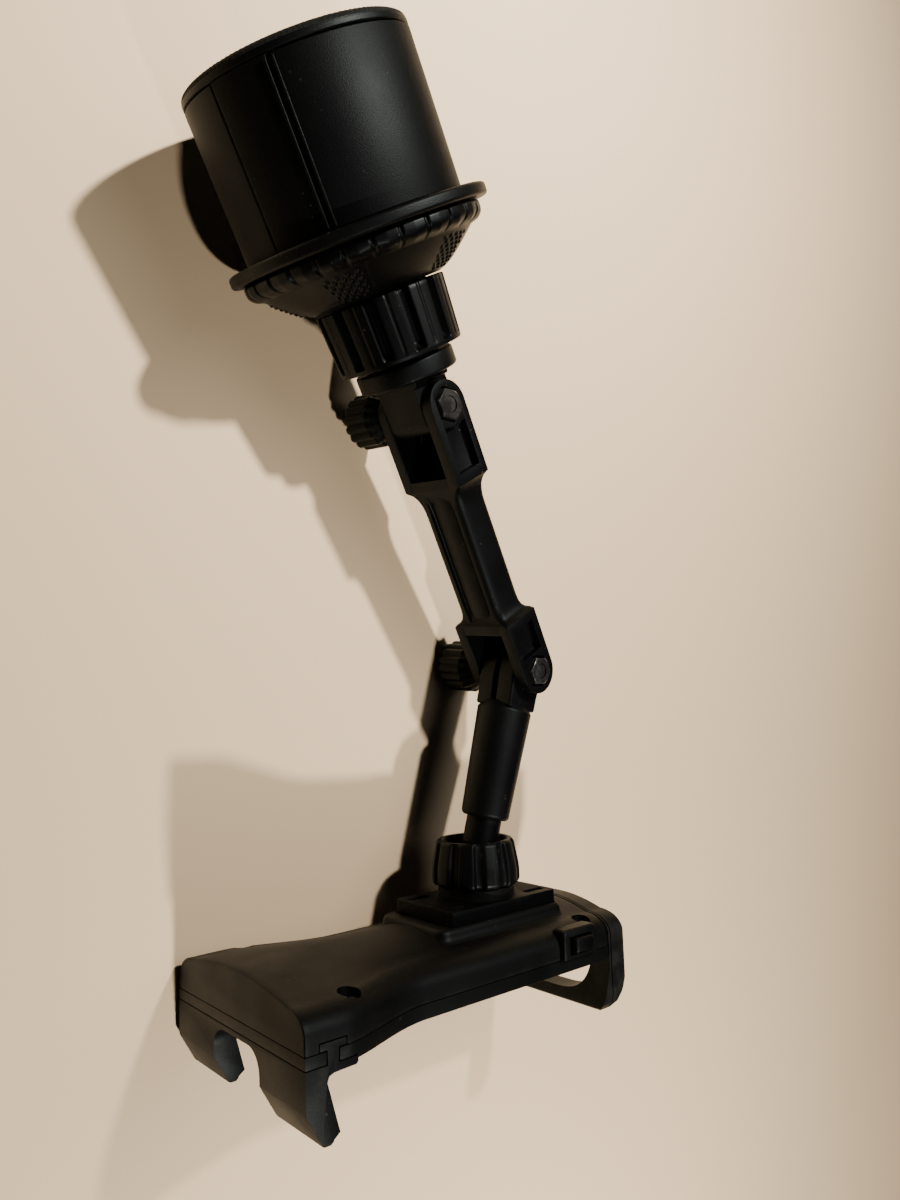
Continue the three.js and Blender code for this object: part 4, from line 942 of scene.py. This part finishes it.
def areaLight(name, place, target, size, power, colour, spread=180):
    data = bpy.data.lights.new(name, "AREA")
    data.shape, data.size, data.energy, data.color, data.spread = "DISK", size, power, colour, radians(spread)
    made = bpy.data.objects.new(name, data)
    made.location = place
    made.rotation_euler = (Vector(target) - Vector(place)).to_track_quat("-Z", "Y").to_euler()
    scene.collection.objects.link(made)

middle = Vector((0.0, 0.03, 0.16))
keySide = right * 0.664 + up * 0.529 - look * 0.528
lowSide = right * 0.436 - up * 0.662 - look * 0.609
lamp = {"reach": 0.8, "size": 0.045, "keyPower": 2.9, "lowPower": 2.2, "colour": (1.0, 0.92, 0.8),
        "keySpread": 78, "lowSpread": 86, "keyAim": 0.3, "lowAim": -0.36, "aside": 0.08,
        "broadSide": (0.959, -0.237, -0.147), "broadReach": 0.9, "broadSize": 0.5, "broadPower": 1.35,
        "broadColour": (1.0, 0.96, 0.9)}
# each small light is aimed past the object, so it fades along its length
keyTarget = middle + up * lamp["keyAim"] + right * lamp["aside"]
lowTarget = middle + up * lamp["lowAim"] + right * lamp["aside"]
areaLight("keyLight", middle + keySide * lamp["reach"], keyTarget, lamp["size"], lamp["keyPower"],
          lamp["colour"], lamp["keySpread"])
areaLight("lowLight", middle + lowSide * lamp["reach"], lowTarget, lamp["size"], lamp["lowPower"],
          lamp["colour"], lamp["lowSpread"])
areaLight("broadLight", middle + Vector(lamp["broadSide"]) * lamp["broadReach"], middle, lamp["broadSize"],
          lamp["broadPower"], lamp["broadColour"])
# a faint cool fill lights the scene, and a pale backdrop shows where the floor does not reach
backdrop = {"fill": (0.85, 0.9, 1.0, 1), "fillStrength": 0.009, "seen": (0.62, 0.58, 0.52, 1),
            "seenStrength": 0.8}
world = bpy.data.worlds.new("studio")
world.use_nodes = True
tree = world.node_tree
fill = tree.nodes["Background"]
fill.inputs["Color"].default_value = backdrop["fill"]
fill.inputs["Strength"].default_value = backdrop["fillStrength"]
seen = tree.nodes.new("ShaderNodeBackground")
seen.inputs["Color"].default_value = backdrop["seen"]
seen.inputs["Strength"].default_value = backdrop["seenStrength"]
choice = tree.nodes.new("ShaderNodeMixShader")
tree.links.new(tree.nodes.new("ShaderNodeLightPath").outputs["Is Camera Ray"], choice.inputs[0])
tree.links.new(fill.outputs[0], choice.inputs[1])
tree.links.new(seen.outputs[0], choice.inputs[2])
tree.links.new(choice.outputs[0], tree.nodes["World Output"].inputs["Surface"])
scene.world = world
print("stage ready")

bpy.context.view_layer.update()
